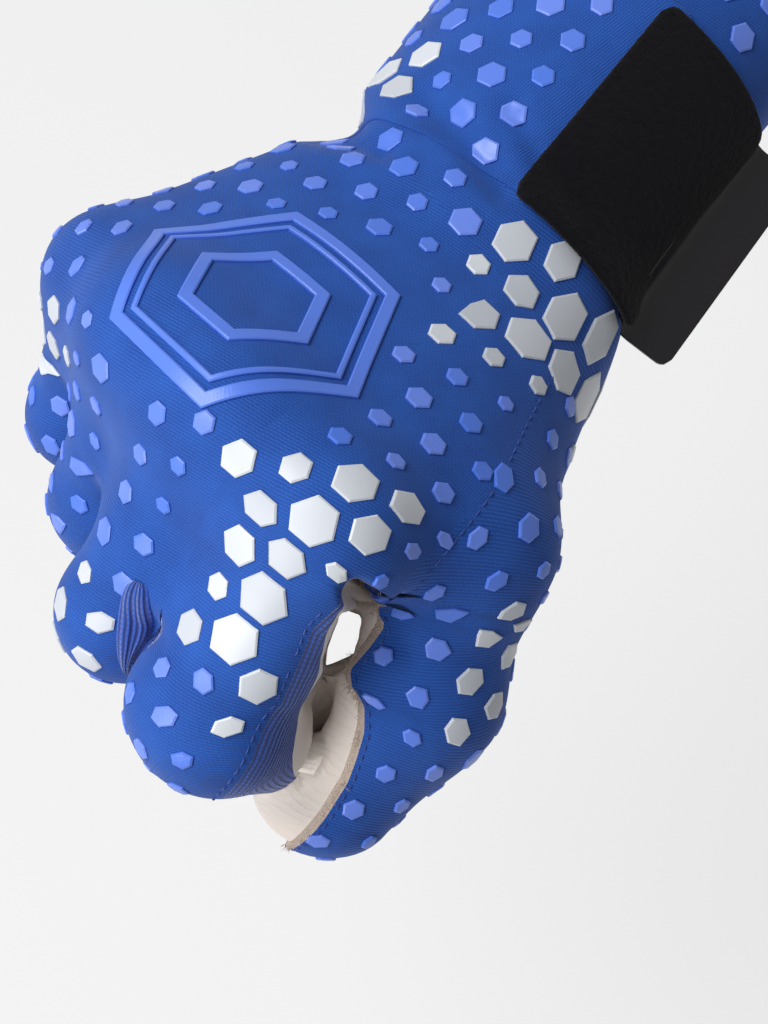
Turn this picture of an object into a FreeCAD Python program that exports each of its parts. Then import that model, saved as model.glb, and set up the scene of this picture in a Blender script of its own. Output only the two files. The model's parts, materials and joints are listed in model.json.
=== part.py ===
import FreeCAD, Part

import math
import os

from FreeCAD import Placement, Rotation, Vector

# A padded sports glove for the right hand, closed in a loose fist. All sizes are in mm and degrees.
# Row frame: the origin is the centre of the wrist opening, +X points up the arm, +Y to the little
# finger's side and +Z out of the back of the hand.

# ---- layers -------------------------------------------------------------------------------------
FABRIC = 2.0  # padded fabric of the back
KNIT = 1.4  # ribbed side walls
FOAM = 4.0  # foam latex of the palm side
LINING = 1.2  # stretch lining that bridges each joint
SLIDE_GAP = 0.5  # between a joint's lining and the shell that slides over it
WRIST_EASE = 0.8  # more of it at the wrist, where the shells are large
JOINT_GAP = 0.4  # from a hinge line to the shell edges on each side of it
LAYER_GAP = 0.3  # between layers that lie on each other
SEWN_GAP = 0.6  # between the strap band and the flap sewn on over it

# ---- cuff and strap -----------------------------------------------------------------------------
CUFF_LENGTH = 93.0  # wrist joint to the mouth
CUFF_WRIST = (36.0, 27.0)  # half width and half height at the wrist
CUFF_MOUTH = (38.5, 29.5)  # the same at the mouth
WRIST_SHIFT = (1.5, 4.0)  # the wrist joint's Y and Z: the sleeve leans a little
BINDING_WIDTH = 5.0
BINDING_THICK = 0.8
STRAP_START = 8.0  # wrist joint to the strap's near edge
STRAP_WIDTH = 55.0
STRAP_THICK = 2.0
STRAP_TO = 128.0  # angle round the cuff where the band ends, from +Y towards +Z
FLAP_FROM = 112.0  # the seam where the loop flap starts, and about which it peels
FLAP_TO = 184.0
STRAP_SPACE = 11.0  # left between the flap's end and the start of the band
FLAP_THICK = 2.2
HOOK_THICK = 0.9
LANDING_THICK = 1.0
HOOK_SPAN = 26.0  # degrees of the flap's end that hold
TAB_LENGTH = 15.0
TAB_THICK = 1.3
TAB_SETBACK = 3.0  # the tab's edges stop this far inside the strap's

# ---- wrist --------------------------------------------------------------------------------------
WRIST_BACK = 27.3  # how far the hand is bent back at rest
WRIST_TURN = -11.7  # how far it is turned to the thumb's side
WRIST_OPEN = 12.0  # further bend back
WRIST_CLOSE = 27.0  # and forward, to about straight
LINING_HOLD = 8.0  # degrees that a joint's lining runs on under each shell

# ---- hand shell, in the hand's own frame at the wrist joint: -X to the fingers ----------------------
# station: x, thumb edge (y, z, r), little-finger edge (y, z, r), back (y, z), palm (y, z)
HAND_STATIONS = [
    (0.0, (-12.0, 0.0, 25.7), (13.0, 0.0, 25.7), (0.0, 27.3), (0.0, -27.3)),
    (-12.0, (-21.0, -2.2, 21.8), (19.0, -1.6, 20.8), (-1.0, 25.8), (0.0, -26.0)),
    (-26.0, (-37.0, -7.0, 17.0), (29.0, -6.0, 14.5), (-2.0, 18.5), (0.0, -21.5)),
    (-53.0, (-40.0, -2.0, 14.8), (31.0, -8.0, 13.2), (-5.0, 17.8), (-3.0, -17.0)),
    (-82.0, (-41.5, -0.6, 14.2), (32.8, -10.0, 12.6), (-12.0, 18.6), (-5.0, -14.5)),
]

# ---- fingers: knuckle (x, y, z) in the hand's frame, phalanx lengths, bends, half sizes --------------
FINGERS = {
    "index": dict(
        knuckle=(-76.3, -41.5, -1.0),
        lengths=(46.0, 28.0, 24.0),
        bends=(61.5, 81.6, 35.0),
        sizes=((12.8, 14.2), (12.6, 13.4), (12.2, 12.6)),
        tip=11.6,
    ),
    "middle": dict(
        knuckle=(-77.5, -15.0, 3.0),
        lengths=(50.0, 31.0, 25.0),
        bends=(71.7, 81.6, 35.0),
        sizes=((12.6, 14.6), (12.5, 13.4), (12.2, 12.6)),
        tip=11.6,
    ),
    "ring": dict(
        knuckle=(-72.8, 9.7, 0.5),
        lengths=(46.0, 29.0, 25.0),
        bends=(86.5, 81.6, 35.0),
        sizes=((11.5, 14.0), (11.5, 13.0), (11.3, 12.2)),
        tip=11.0,
    ),
    "little": dict(
        knuckle=(-62.6, 32.8, -10.0),
        lengths=(37.0, 23.0, 23.0),
        bends=(87.0, 81.6, 35.0),
        sizes=((11.0, 12.6), (11.0, 12.0), (10.8, 11.4)),
        tip=10.4,
    ),
}

# ---- thumb, in the hand's frame ----------------------------------------------------------------------
THUMB_BASE = (-43.8, -57.7, -13.1)  # its hinge
THUMB_OUT = (-0.82, -0.574, -0.033)  # the way it points when straight
THUMB_BEND = 59.0  # its bend at rest
THUMB_LENGTHS = (33.0, 26.8)
THUMB_INWARD = 19.0  # how far the tip turns in, over the fist
THUMB_SIZES = ((12.6, 15.6), (13.6, 15.0))
THUMB_TIP = 12.0
THUMB_SLEEVE = 14.0  # length of the sleeve on the hand that carries it

# where a finger's section is cut into back, side walls and palm, up from its width
BACK_EDGE = 40.0
CUFF_EDGE = 28.0  # the same on the cuff
LINING_EDGE = 14.0  # where a joint's lining ends at the sides
REACH = 70.0  # longer than any cut is deep
SPARE = 3.0  # how far a cutting body stands past what it cuts

os.makedirs("parts", exist_ok=True)

X, Y, Z = Vector(1, 0, 0), Vector(0, 1, 0), Vector(0, 0, 1)
WRIST = Vector(-CUFF_LENGTH, WRIST_SHIFT[0], WRIST_SHIFT[1])
HAND = Placement(WRIST, Rotation(Z, WRIST_TURN) * Rotation(Y, WRIST_BACK))
HERE = Placement()


def save(node, solids, place=HERE):
    """Write one node, one or several solids, in the row frame."""
    solids = [s for one in solids for s in one.Solids]
    shape = solids[0] if len(solids) == 1 else Part.makeCompound(solids)
    moved = shape.copy()
    moved.Placement = place.multiply(moved.Placement)
    assert all(s.isValid() and s.Volume > 1.0 for s in moved.Solids), node
    moved.exportStep("parts/%s.step" % node)
    print("%-24s solids %d  volume %8.0f" % (node, len(moved.Solids), moved.Volume))
    return shape


def unit(v):
    return Vector(v).normalize()


def report_joint(joint, at, axis):
    """Print a hinge's place and axis in the row frame."""
    print("JOINT %s %.4f %.4f %.4f  %.6f %.6f %.6f" % ((joint,) + tuple(at) + tuple(axis)))


class Station:
    """A cross-section's frame: centre, way along, lateral axis and outward (back) normal."""

    def __init__(self, centre, along, lateral, size=None):
        self.c, self.u = Vector(centre), unit(along)
        self.y = unit(lateral - self.u * lateral.dot(self.u))
        self.n = self.y.cross(self.u)
        self.size = size

    def at(self, along, lateral, out):
        return self.c + self.u * along + self.y * lateral + self.n * out

    def rim(self, angle, inset=0.0):
        """Point on the oval at an angle from +lateral towards the back, inset by a wall."""
        w, h = self.size[0] - inset, self.size[1] - inset
        a = math.radians(angle)
        return self.at(0, w * math.cos(a), h * math.sin(a))


def arc(a, middle, b):
    return Part.Arc(a, middle, b).toShape()


def oval_wire(st, start, stop, outer, inner, arcs=1):
    """A curved strip of the oval from angle start to stop, between two insets."""
    step = (stop - start) / arcs
    knots = [start + step * i for i in range(arcs + 1)]
    edges = [arc(st.rim(k, outer), st.rim(k + step / 2, outer), st.rim(k + step, outer)) for k in knots[:-1]]
    edges.append(Part.makeLine(st.rim(stop, outer), st.rim(stop, inner)))
    edges += [arc(st.rim(k, inner), st.rim(k - step / 2, inner), st.rim(k - step, inner)) for k in knots[:0:-1]]
    edges.append(Part.makeLine(st.rim(start, inner), st.rim(start, outer)))
    return Part.Wire(edges)


def strip(stations, start, stop, wall, outer=0.0, arcs=1):
    """A panel of a tube: the curved strip carried through the stations."""
    wires = [oval_wire(st, start, stop, outer, outer + wall, arcs) for st in stations]
    return Part.makeLoft(wires, True, True)


def prism(st, outline, half_width):
    """A body with its outline in (along, out) of a station, as wide each way as half_width."""
    points = [st.at(a, -half_width, o) for a, o in outline]
    face = Part.Face(Part.makePolygon(points + points[:1]))
    return face.extrude(st.y * (2 * half_width))


def mitre(st, side, bend, half_width, back=False):
    """The wedge that a shell loses at a hinge so that it can bend: side is +1 past the hinge, -1 before."""
    up = 1 if back else -1
    gap = side * JOINT_GAP
    tip = gap + side * REACH * math.tan(math.radians(bend / 2))
    outline = [(gap - side * SPARE, 0), (gap, 0), (tip, up * REACH), (gap - side * SPARE, up * REACH)]
    return prism(st, outline, half_width)


def lining(st, size, start, stop, back=True):
    """A slice of a ball about the hinge line, from angle start to stop past the section plane."""
    ball = Station(st.c, st.u, st.y, size)
    low, high = (LINING_EDGE, 180 - LINING_EDGE) if back else (180 + LINING_EDGE, 360 - LINING_EDGE)
    face = Part.Face(oval_wire(ball, low, high, 0, LINING, 2))
    turn = -1 if back else 1
    face.rotate(st.c, st.y, -turn * -start if back else turn * -start)
    return face.revolve(st.c, st.y * turn, stop - start)


def tip_dome(st, radius, wall):
    """A closed finger end: a half ball shell past the station."""
    outer = Part.makeSphere(radius, st.c, st.u, 0, 90, 360)
    return outer.cut(Part.makeSphere(radius - wall, st.c, st.u, -90, 90, 360))


def tube_panels(name, stations, place, cuts=()):
    """Back, palm and the two side walls of a stretch of a finger."""
    edge = BACK_EDGE
    back = strip(stations, edge, 180 - edge, FABRIC)
    palm = strip(stations, 180 + edge, 360 - edge, FOAM)
    walls = [strip(stations, -edge, edge, KNIT), strip(stations, 180 - edge, 180 + edge, KNIT)]
    for cut in cuts:
        back, palm = back.cut(cut), palm.cut(cut)
        walls = [w.cut(cut) for w in walls]
    save(name + "_back", [back], place)
    save(name + "_palm", [palm], place)
    save(name + "_gussets", walls, place)


def joint_size(size):
    """The lining's half sizes under a finger shell of the given half sizes."""
    return size[0] - KNIT - SLIDE_GAP, size[1] - FABRIC - SLIDE_GAP


# ---- cuff ---------------------------------------------------------------------------------------
HINGE_AXIS = HAND.Rotation.multVec(Y)
WRIST_LINE = Station(WRIST, Z.cross(HINGE_AXIS), HINGE_AXIS)


def cuff_station(from_wrist, grow=0.0):
    """The cuff's section a way up from the wrist joint, grown by an offset."""
    share = from_wrist / CUFF_LENGTH
    size = [a + (b - a) * share + grow for a, b in zip(CUFF_WRIST, CUFF_MOUTH)]
    centre = Vector(WRIST.x + from_wrist, WRIST.y * (1 - share), WRIST.z * (1 - share))
    return Station(centre, -X, Y, size)


def wrist_cuts():
    """What the cuff and the strap lose at the wrist: all past the hinge, and a wedge on the back."""
    wide = CUFF_MOUTH[0] + REACH
    outline = [(-JOINT_GAP, 0), (-JOINT_GAP, REACH), (REACH, REACH), (REACH, -REACH), (-JOINT_GAP, -REACH)]
    past = prism(WRIST_LINE, outline, wide)
    return past, mitre(WRIST_LINE, -1, WRIST_BACK + WRIST_OPEN, wide, back=True)


def cuff():
    """Four fabric panels, the mouth's binding and the wrist lining."""
    lean = SPARE * 3
    stations = [cuff_station(-lean), cuff_station(CUFF_LENGTH - BINDING_WIDTH - LAYER_GAP)]
    past, back_wedge = wrist_cuts()
    edge = CUFF_EDGE
    panels = {
        "cuff_back": [strip(stations, edge, 180 - edge, FABRIC, arcs=2)],
        "cuff_palm": [strip(stations, 180 + edge, 360 - edge, FOAM, arcs=2)],
        "cuff_elastic_sides": [
            strip(stations, -edge, edge, KNIT),
            strip(stations, 180 - edge, 180 + edge, KNIT),
        ],
    }
    for node, solids in panels.items():
        save(node, [s.cut(past).cut(back_wedge) for s in solids])
    mouth = [cuff_station(CUFF_LENGTH - BINDING_WIDTH, BINDING_THICK), cuff_station(CUFF_LENGTH, BINDING_THICK)]
    wall = FABRIC + 2 * BINDING_THICK
    halves = [strip(mouth, a, a + 180, wall, arcs=2) for a in (0, 180)]
    save("cuff_binding", [halves[0].fuse(halves[1]).removeSplitter()])
    size = [half - FABRIC - SLIDE_GAP - WRIST_EASE for half in CUFF_WRIST]
    under_size = [size[0], CUFF_WRIST[1] - FOAM - SLIDE_GAP - WRIST_EASE]
    tilt = (WRIST_BACK + WRIST_OPEN) / 2
    top = lining(WRIST_LINE, size, -tilt - LINING_HOLD, WRIST_CLOSE - (WRIST_BACK - tilt) + LINING_HOLD)
    under = lining(WRIST_LINE, under_size, -LINING_HOLD, WRIST_BACK + WRIST_OPEN + LINING_HOLD, back=False)
    save("wrist_lining", [top, under])
    report_joint("wrist_bend", WRIST, HINGE_AXIS)


def strap():
    """The strap round the wrist, the loop flap with its hooks and tab, and the patch it lands on."""
    def ring(offset, inset=0.0):
        return [
            cuff_station(STRAP_START + inset, offset),
            cuff_station(STRAP_START + STRAP_WIDTH - inset, offset),
        ]

    band = LAYER_GAP + STRAP_THICK
    flap = band + SEWN_GAP + FLAP_THICK
    past, back_wedge = wrist_cuts()
    wrap = strip(ring(band), FLAP_TO + STRAP_SPACE - 360, STRAP_TO, STRAP_THICK, arcs=6)
    save("strap_band", [wrap.cut(past).cut(back_wedge)])
    save("strap_loop_flap", [strip(ring(flap), FLAP_FROM, FLAP_TO, FLAP_THICK, arcs=2)])
    landing = LAYER_GAP + LANDING_THICK
    hooks = flap - FLAP_THICK - LAYER_GAP
    start = FLAP_TO - HOOK_SPAN
    save("strap_landing_patch", [strip(ring(landing, TAB_SETBACK), start, FLAP_TO, LANDING_THICK)])
    save("strap_hook_pad", [strip(ring(hooks, TAB_SETBACK), start, FLAP_TO, HOOK_THICK)])
    near, far = ring(flap - (FLAP_THICK - TAB_THICK) / 2, TAB_SETBACK)
    corner = near.rim(FLAP_TO)
    out = near.n * -1
    thick = (near.c - corner).normalize() * TAB_THICK
    width = far.rim(FLAP_TO) - corner
    base = corner + out * LAYER_GAP / 3
    face = Part.Face(Part.makePolygon([base, base + width, base + width + thick, base + thick, base]))
    save("strap_pull_tab", [face.extrude(out * TAB_LENGTH)])
    pivot = ring(flap - FLAP_THICK)[0].rim(FLAP_FROM)
    report_joint("strap_peel", pivot, -X)


# ---- hand ---------------------------------------------------------------------------------------
def hand_wire(station, quarter, wall):
    """One quarter of the hand's section: back, thumb_edge, palm or little_edge, from the outside to wall."""
    x, thumb, little, back, palm = station

    def edge_points(inset):
        ty, tz, tr = thumb[0], thumb[1], thumb[2] - inset
        ly, lz, lr = little[0], little[1], little[2] - inset
        return {
            "back": ((ty, tz + tr), (back[0], back[1] - inset), (ly, lz + lr)),
            "little_edge": ((ly, lz + lr), (ly + lr, lz), (ly, lz - lr)),
            "palm": ((ly, lz - lr), (palm[0], palm[1] + inset), (ty, tz - tr)),
            "thumb_edge": ((ty, tz - tr), (ty - tr, tz), (ty, tz + tr)),
        }[quarter]

    outer = [Vector(x, y, z) for y, z in edge_points(0)]
    inner = [Vector(x, y, z) for y, z in edge_points(wall)]
    return Part.Wire([
        arc(*outer),
        Part.makeLine(outer[2], inner[2]),
        arc(*reversed(inner)),
        Part.makeLine(inner[0], outer[0]),
    ])


def finger_stations(spec):
    """The frames of one finger, and the points of its joints."""
    point = Vector(*spec["knuckle"])
    bend, frames, points = 0.0, [], [point]
    for length, more in zip(spec["lengths"], spec["bends"]):
        bend += more
        a = math.radians(bend)
        way = Vector(-math.cos(a), 0, -math.sin(a))
        frames.append(way)
        point = point + way * length
        points.append(point)
    return frames, points


def finger(name, spec):
    """Two moving stretches of tube, their linings and the closed end."""
    ways, (mcp, pip, dip, end) = finger_stations(spec)
    sizes = spec["sizes"]
    bend = spec["bends"]
    wide = sizes[0][0] + SPARE

    def at(centre, way, size, shift=0.0):
        return Station(centre + way * shift, way, Y, size)

    first = [at(mcp, ways[0], sizes[0], JOINT_GAP), at(pip, ways[0], sizes[1], -JOINT_GAP)]
    cuts = [
        mitre(at(mcp, ways[0], None), 1, bend[0], wide),
        mitre(at(pip, ways[0], None), -1, bend[1], wide),
    ]
    tube_panels(name + "_proximal", first, HAND, cuts)
    second = [
        at(pip, ways[1], sizes[1], JOINT_GAP),
        at(dip, ways[1] + ways[2], sizes[2]),
        at(end, ways[2], (spec["tip"], spec["tip"])),
    ]
    cuts = [mitre(at(pip, ways[1], None), 1, bend[1], wide)]
    tube_panels(name + "_distal", second, HAND, cuts)
    save(name + "_tip", [tip_dome(at(end, ways[2], None, LAYER_GAP / 3), spec["tip"], FOAM)], HAND)
    knuckle = lining(at(mcp, -X, None), joint_size(sizes[0]), -LINING_HOLD, bend[0] + LINING_HOLD)
    save(name + "_knuckle_lining", [knuckle], HAND)
    middle = lining(at(pip, ways[0], None), joint_size(sizes[1]), -LINING_HOLD, bend[1] + LINING_HOLD)
    save(name + "_joint_lining", [middle], HAND)
    report_joint(name + "_knuckle", HAND.multVec(mcp), HINGE_AXIS)
    report_joint(name + "_middle", HAND.multVec(pip), HINGE_AXIS)


def thumb_frames():
    """The thumb's axis system: the way it would point straight, its lateral axis and its joints."""
    straight = unit(Vector(*THUMB_OUT))
    lateral = unit(straight.cross(Z))
    out = lateral.cross(straight)
    a = math.radians(THUMB_BEND)
    way = straight * math.cos(a) - out * math.sin(a)
    b = math.radians(THUMB_INWARD)
    last = way * math.cos(b) + lateral * math.sin(b)
    base = Vector(*THUMB_BASE)
    joint = base + way * THUMB_LENGTHS[0]
    return straight, lateral, way, last, base, joint, joint + last * THUMB_LENGTHS[1]


def hand_and_thumb():
    """The hand's shell, opened for the fingers and the thumb, and the thumb itself."""
    straight, lateral, way, last, base, joint, end = thumb_frames()
    cuts = []
    for spec in FINGERS.values():
        mcp = Vector(*spec["knuckle"])
        half = spec["sizes"][0][0] + LAYER_GAP
        st = Station(mcp, -X, Y)
        lean = REACH * math.tan(math.radians(spec["bends"][0] / 2))
        outline = [(-JOINT_GAP, 0), (-JOINT_GAP, REACH), (REACH, REACH), (REACH, -REACH), (-JOINT_GAP - lean, -REACH)]
        cuts.append(prism(st, outline, half))
    # the far side of the little finger's knuckle, where the row of knuckles steps back
    spec = FINGERS["little"]
    wall_start = spec["knuckle"][1] + spec["sizes"][0][0]
    box = Part.makeBox(REACH, REACH, 2 * REACH, Vector(spec["knuckle"][0] - JOINT_GAP - REACH, wall_start, -REACH))
    cuts.append(box)
    hinge = Station(Vector(), -X, Y)
    cuts.append(mitre(hinge, 1, WRIST_BACK + WRIST_OPEN, REACH, back=True))
    cuts.append(Part.makeBox(JOINT_GAP, 2 * REACH, 2 * REACH, Vector(-JOINT_GAP, -REACH, -REACH)))
    half = THUMB_SIZES[0][0] + LAYER_GAP
    hole = THUMB_SIZES[0][1] + SLIDE_GAP
    drum = Part.makeCylinder(hole, 2 * half + REACH, base + lateral * half, -lateral)
    cuts.append(drum)
    walls = {"back": FABRIC, "palm": FOAM, "thumb_edge": KNIT, "little_edge": KNIT}
    names = {"back": "hand_back", "palm": "hand_palm", "thumb_edge": "hand_thumb_gusset", "little_edge": "hand_little_gusset"}
    for quarter, wall in walls.items():
        shell = Part.makeLoft([hand_wire(s, quarter, wall) for s in HAND_STATIONS], True, True)
        for cut in cuts:
            shell = shell.cut(cut)
        solids = sorted(shell.Solids, key=lambda s: -s.Volume)
        save(names[quarter], solids[:1], HAND)

    tube = [
        Station(base + way * JOINT_GAP, way, lateral, THUMB_SIZES[0]),
        Station(joint, way + last, lateral, THUMB_SIZES[1]),
        Station(end, last, lateral, (THUMB_TIP, THUMB_TIP)),
    ]
    cut = mitre(Station(base, way, lateral), 1, THUMB_BEND, THUMB_SIZES[0][0] + SPARE)
    tube_panels("thumb", tube, HAND, [cut])
    save("thumb_tip", [tip_dome(Station(end + last * LAYER_GAP / 3, last, lateral), THUMB_TIP, FOAM)], HAND)
    sleeve = [
        Station(base - straight * THUMB_SLEEVE, straight, lateral, THUMB_SIZES[0]),
        Station(base - straight * JOINT_GAP, straight, lateral, THUMB_SIZES[0]),
    ]
    root = Station(base, straight, lateral)
    cut = mitre(root, -1, THUMB_BEND, THUMB_SIZES[0][0] + SPARE)
    inside = Part.makeCylinder(hole - LAYER_GAP, 2 * half, base + lateral * half, -lateral)
    collar = strip(sleeve, -BACK_EDGE, 180 + BACK_EDGE, KNIT, arcs=3).common(inside)
    save("thumb_root_sleeve", [collar.cut(cut)], HAND)
    save("thumb_knuckle_lining", [lining(root, joint_size(THUMB_SIZES[0]), -LINING_HOLD, THUMB_BEND + LINING_HOLD)], HAND)
    report_joint("thumb_base", HAND.multVec(base), HAND.Rotation.multVec(lateral))


cuff()
strap()
hand_and_thumb()
for finger_name, finger_spec in FINGERS.items():
    finger(finger_name, finger_spec)
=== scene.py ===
# %% [markdown]
# A padded grip glove for the right hand, closed in a loose fist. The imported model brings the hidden
# construction: hinges, tubes and the way every body moves. This lesson dresses it. Everything that is
# soft on the real glove is one smooth skin here, worked out with numpy and cut into the panels that a
# glove maker would cut: fabric backs, ribbed side walls, foam palms, cuff and strap.

# %% Load the fixed frame
import json

import bpy
import numpy as np
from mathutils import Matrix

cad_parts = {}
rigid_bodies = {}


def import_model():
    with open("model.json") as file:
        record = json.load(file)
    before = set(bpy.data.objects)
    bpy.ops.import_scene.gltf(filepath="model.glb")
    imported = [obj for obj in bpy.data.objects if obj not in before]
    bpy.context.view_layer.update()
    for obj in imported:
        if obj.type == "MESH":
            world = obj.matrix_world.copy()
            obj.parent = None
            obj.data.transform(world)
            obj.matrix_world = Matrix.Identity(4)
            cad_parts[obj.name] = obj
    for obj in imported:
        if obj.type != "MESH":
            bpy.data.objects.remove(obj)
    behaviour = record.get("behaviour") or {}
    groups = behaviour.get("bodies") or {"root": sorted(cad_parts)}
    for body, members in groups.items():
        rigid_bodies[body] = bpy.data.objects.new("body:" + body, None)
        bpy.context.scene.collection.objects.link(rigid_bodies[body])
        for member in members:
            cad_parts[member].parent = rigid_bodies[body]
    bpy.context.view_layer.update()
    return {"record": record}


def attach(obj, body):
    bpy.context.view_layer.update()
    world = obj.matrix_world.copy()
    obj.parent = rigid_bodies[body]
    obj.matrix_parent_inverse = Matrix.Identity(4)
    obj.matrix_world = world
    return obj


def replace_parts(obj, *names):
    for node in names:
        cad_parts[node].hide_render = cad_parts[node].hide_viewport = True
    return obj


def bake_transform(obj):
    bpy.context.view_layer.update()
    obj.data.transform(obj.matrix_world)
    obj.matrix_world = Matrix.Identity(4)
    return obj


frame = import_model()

MM = 0.001
joints = {j["name"]: j for j in frame["record"]["behaviour"]["joints"]}

# %% [markdown]
# The glove is easiest to describe in the hand's own frame: -X runs to the knuckles, +Y to the little
# finger and +Z out of the back of the hand. The wrist hinge gives its place and its side axis, and one
# angle gives how far the hand is bent back.

# %% The hand's own frame
HAND_TILT = 27.3  # degrees that the hand is bent back from the arm


def unit(v):
    """A vector, or each row of an array, divided by its length."""
    v = np.asarray(v, float)
    return v / np.linalg.norm(v, axis=-1, keepdims=True)


def joint_place(name):
    """A joint's place in the row frame, in millimetres."""
    return np.array(joints[name]["pos_m"]) / MM


WRIST = joint_place("wrist_bend")
side_axis = unit(joints["wrist_bend"]["axis"])
level = unit(np.cross(side_axis, (0, 0, 1)))
tilt = np.radians(HAND_TILT)
arm_axis = np.cos(tilt) * level - np.sin(tilt) * np.array((0, 0, 1.0))
HAND = np.array((arm_axis, side_axis, np.cross(arm_axis, side_axis)))


def to_row(p):
    """Hand frame to row frame: the wrist plus each coordinate times its axis."""
    return WRIST + np.asarray(p) @ HAND


def to_hand(p):
    """Row frame to hand frame: the projections on the three axes."""
    return (np.asarray(p) - WRIST) @ HAND.T


def metres(p):
    """A point of the hand frame as the row-frame tuple in metres that the frame calls take."""
    return tuple(float(c) for c in to_row(p) * MM)


print("hand axes in the row frame:", HAND.round(3).tolist())

# %% [markdown]
# A finger is a chain of three rods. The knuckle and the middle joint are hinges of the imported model, so
# they are read from it. The end joint is sewn in at a fixed bend, nearly straight on the index finger,
# so it is worked out from the middle one.

# %% Finger bones
# degrees that the middle joints and the sewn end joints are bent
MIDDLE_BEND = 81.6
END_BEND = {"index": 12.0, "middle": 35.0, "ring": 35.0, "little": 35.0}
FINGERS = {
    # middle and end lengths, then padded radii from the knuckle to the end
    "index": ((28.0, 18.0), (13.7, 14.0, 14.0, 12.0)),
    "middle": ((31.0, 25.0), (13.7, 13.4, 12.8, 11.5)),
    "ring": ((29.0, 25.0), (13.2, 13.0, 12.3, 11.0)),
    "little": ((23.0, 23.0), (12.3, 11.9, 11.5, 10.4)),
}
# the index finger's padding past its middle joint is wider, and lies a little to the thumb's side
PAD_SHIFT = {"index": -3.0}
PAD_WIDTH = {"index": (1.04, 1.24)}


def turned(way, degrees):
    """A direction curled towards the palm about the side axis."""
    a = np.radians(degrees)
    x = way[0] * np.cos(a) - way[2] * np.sin(a)
    z = way[0] * np.sin(a) + way[2] * np.cos(a)
    return np.array((x, way[1], z))


def finger_points(name):
    """Knuckle, middle joint, end joint and finger end in the hand frame."""
    middle, end = FINGERS[name][0]
    first = to_hand(joint_place(name + "_knuckle"))
    second = to_hand(joint_place(name + "_middle"))
    way = turned(unit(second - first), MIDDLE_BEND)
    third = second + way * middle
    return [first, second, third, third + turned(way, END_BEND[name]) * end]


BONES = {name: finger_points(name) for name in FINGERS}
for name, points in BONES.items():
    print(name, [p.round(1).tolist() for p in points])

# %% [markdown]
# The padded skin is the zero surface of one formula: the distance to every rod, melted together. A wide
# melt bridges the palm bones and the fingers' first stretch, as the padding does; past that the melt is
# narrow, so the fingers part. Thin rods are then cut out of it, and soft creases pressed in.

# %% The skin's formula
SIDE = np.array((0, 1.0, 0))
THUMB = np.array(
    ((-11.4, -24.4, -11.7), (-47.5, -52.5, -13.0), (-61.0, -61.3, -42.3), (-77.9, -62.8, -63.3))
)
THUMB_RADII = (20.6, 17.0, 15.6, 12.4)
THUMB_WIDE = unit((-0.574, 0.819, 0.0))
# for each stretch of the thumb: how far it melts into the one before, and how much wider it is
THUMB_STRETCHES = ((1.0, 1.02), (8.0, 1.13), (8.0, 1.24))
# the palm's rods: radius at the wrist, how much they outgrow the fingers, and how much wider they are
PALM_RADIUS, PALM_PAD, PALM_WIDE = 16.9, 1.2, 1.15
FINGER_MELT, PALM_MELT, KNUCKLE_MELT, CUFF_MELT = 4.0, 16.0, 10.0, 8.0
WEB_RADIUS, WEB_MELT = 11.0, 10.0
CUFF_RADII, CUFF_WIDE = (27.5, 30.6), 1.3
WEB = np.array(((-31.0, -38.0, -8.0), (-53.0, -46.0, -22.0)))
CUFF = [to_hand(WRIST), to_hand((40.0, 0, 0))]
CUFF_ACROSS = HAND @ SIDE
CREASES = [
    # from, to, half width and depth of the folds pressed in at the wrist and the thumb's root
    (np.array((-1.5, 18.0, 27.9)), np.array((-6.0, -10.0, 27.0)), 3.4, 2.4),
    (np.array((-15.5, 14.0, 21.6)), np.array((-13.0, 34.0, 12.0)), 3.0, 2.0),
    (np.array((6.0, 2.0, 32.0)), np.array((2.0, -20.0, 27.0)), 2.6, 1.2),
    (np.array((-72.6, -59.0, -9.0)), np.array((-68.5, -62.0, -22.0)), 3.0, 1.2),
]
GAPS = [
    # from, to, radius and edge rounding of what is cut away: the opening that stays between the index
    # finger and the thumb, and the deep fold on the little finger's side of the wrist
    (np.array((-88.4, -60.3, -2.2)), np.array((-35.7, -29.0, -72.1)), 1.7, 1.5),
    (np.array((-90.0, -61.5, -3.9)), np.array((-37.6, -30.5, -74.2)), 2.0, 1.5),
    (np.array((-91.7, -62.5, -5.6)), np.array((-39.7, -31.8, -76.3)), 2.1, 1.5),
    (np.array((-93.5, -63.3, -7.3)), np.array((-41.9, -32.8, -78.3)), 1.7, 1.5),
    (np.array((-89.8, -61.2, 7.0)), np.array((-73.1, -51.3, -14.5)), 2.9, 1.5),
    (np.array((-31.5, 14.9, 36.1)), np.array((12.5, 47.5, -4.2)), 5.6, 4.0),
    (np.array((-35.3, 19.1, 35.4)), np.array((8.1, 52.3, -5.0)), 5.6, 4.0),
]


def rod(p, a, b, ra, rb, wide=SIDE, stretch=1.0):
    """Distance to the line from a to b less a radius that runs from ra to rb, measured in a space
    squeezed along the wide direction, which makes the rod that much wider."""
    squeeze = np.outer(wide, wide) * (1 - 1 / stretch)
    p, a, b = p - p @ squeeze, a - a @ squeeze, b - b @ squeeze
    way = b - a
    share = np.clip((p - a) @ way / (way @ way), 0, 1)
    return np.linalg.norm(p - a - share[:, None] * way, axis=1) - (ra + (rb - ra) * share)


def melt(a, b, k):
    """The smaller of two distances, rounded where they differ by less than k."""
    h = np.clip(0.5 + 0.5 * (b - a) / k, 0, 1)
    return b + (a - b) * h - k * h * (1 - h)


def smooth(x, low, high):
    """0 below low, 1 above high and an S curve between."""
    t = np.clip((x - low) / (high - low), 0, 1)
    return t * t * (3 - 2 * t)


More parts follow.
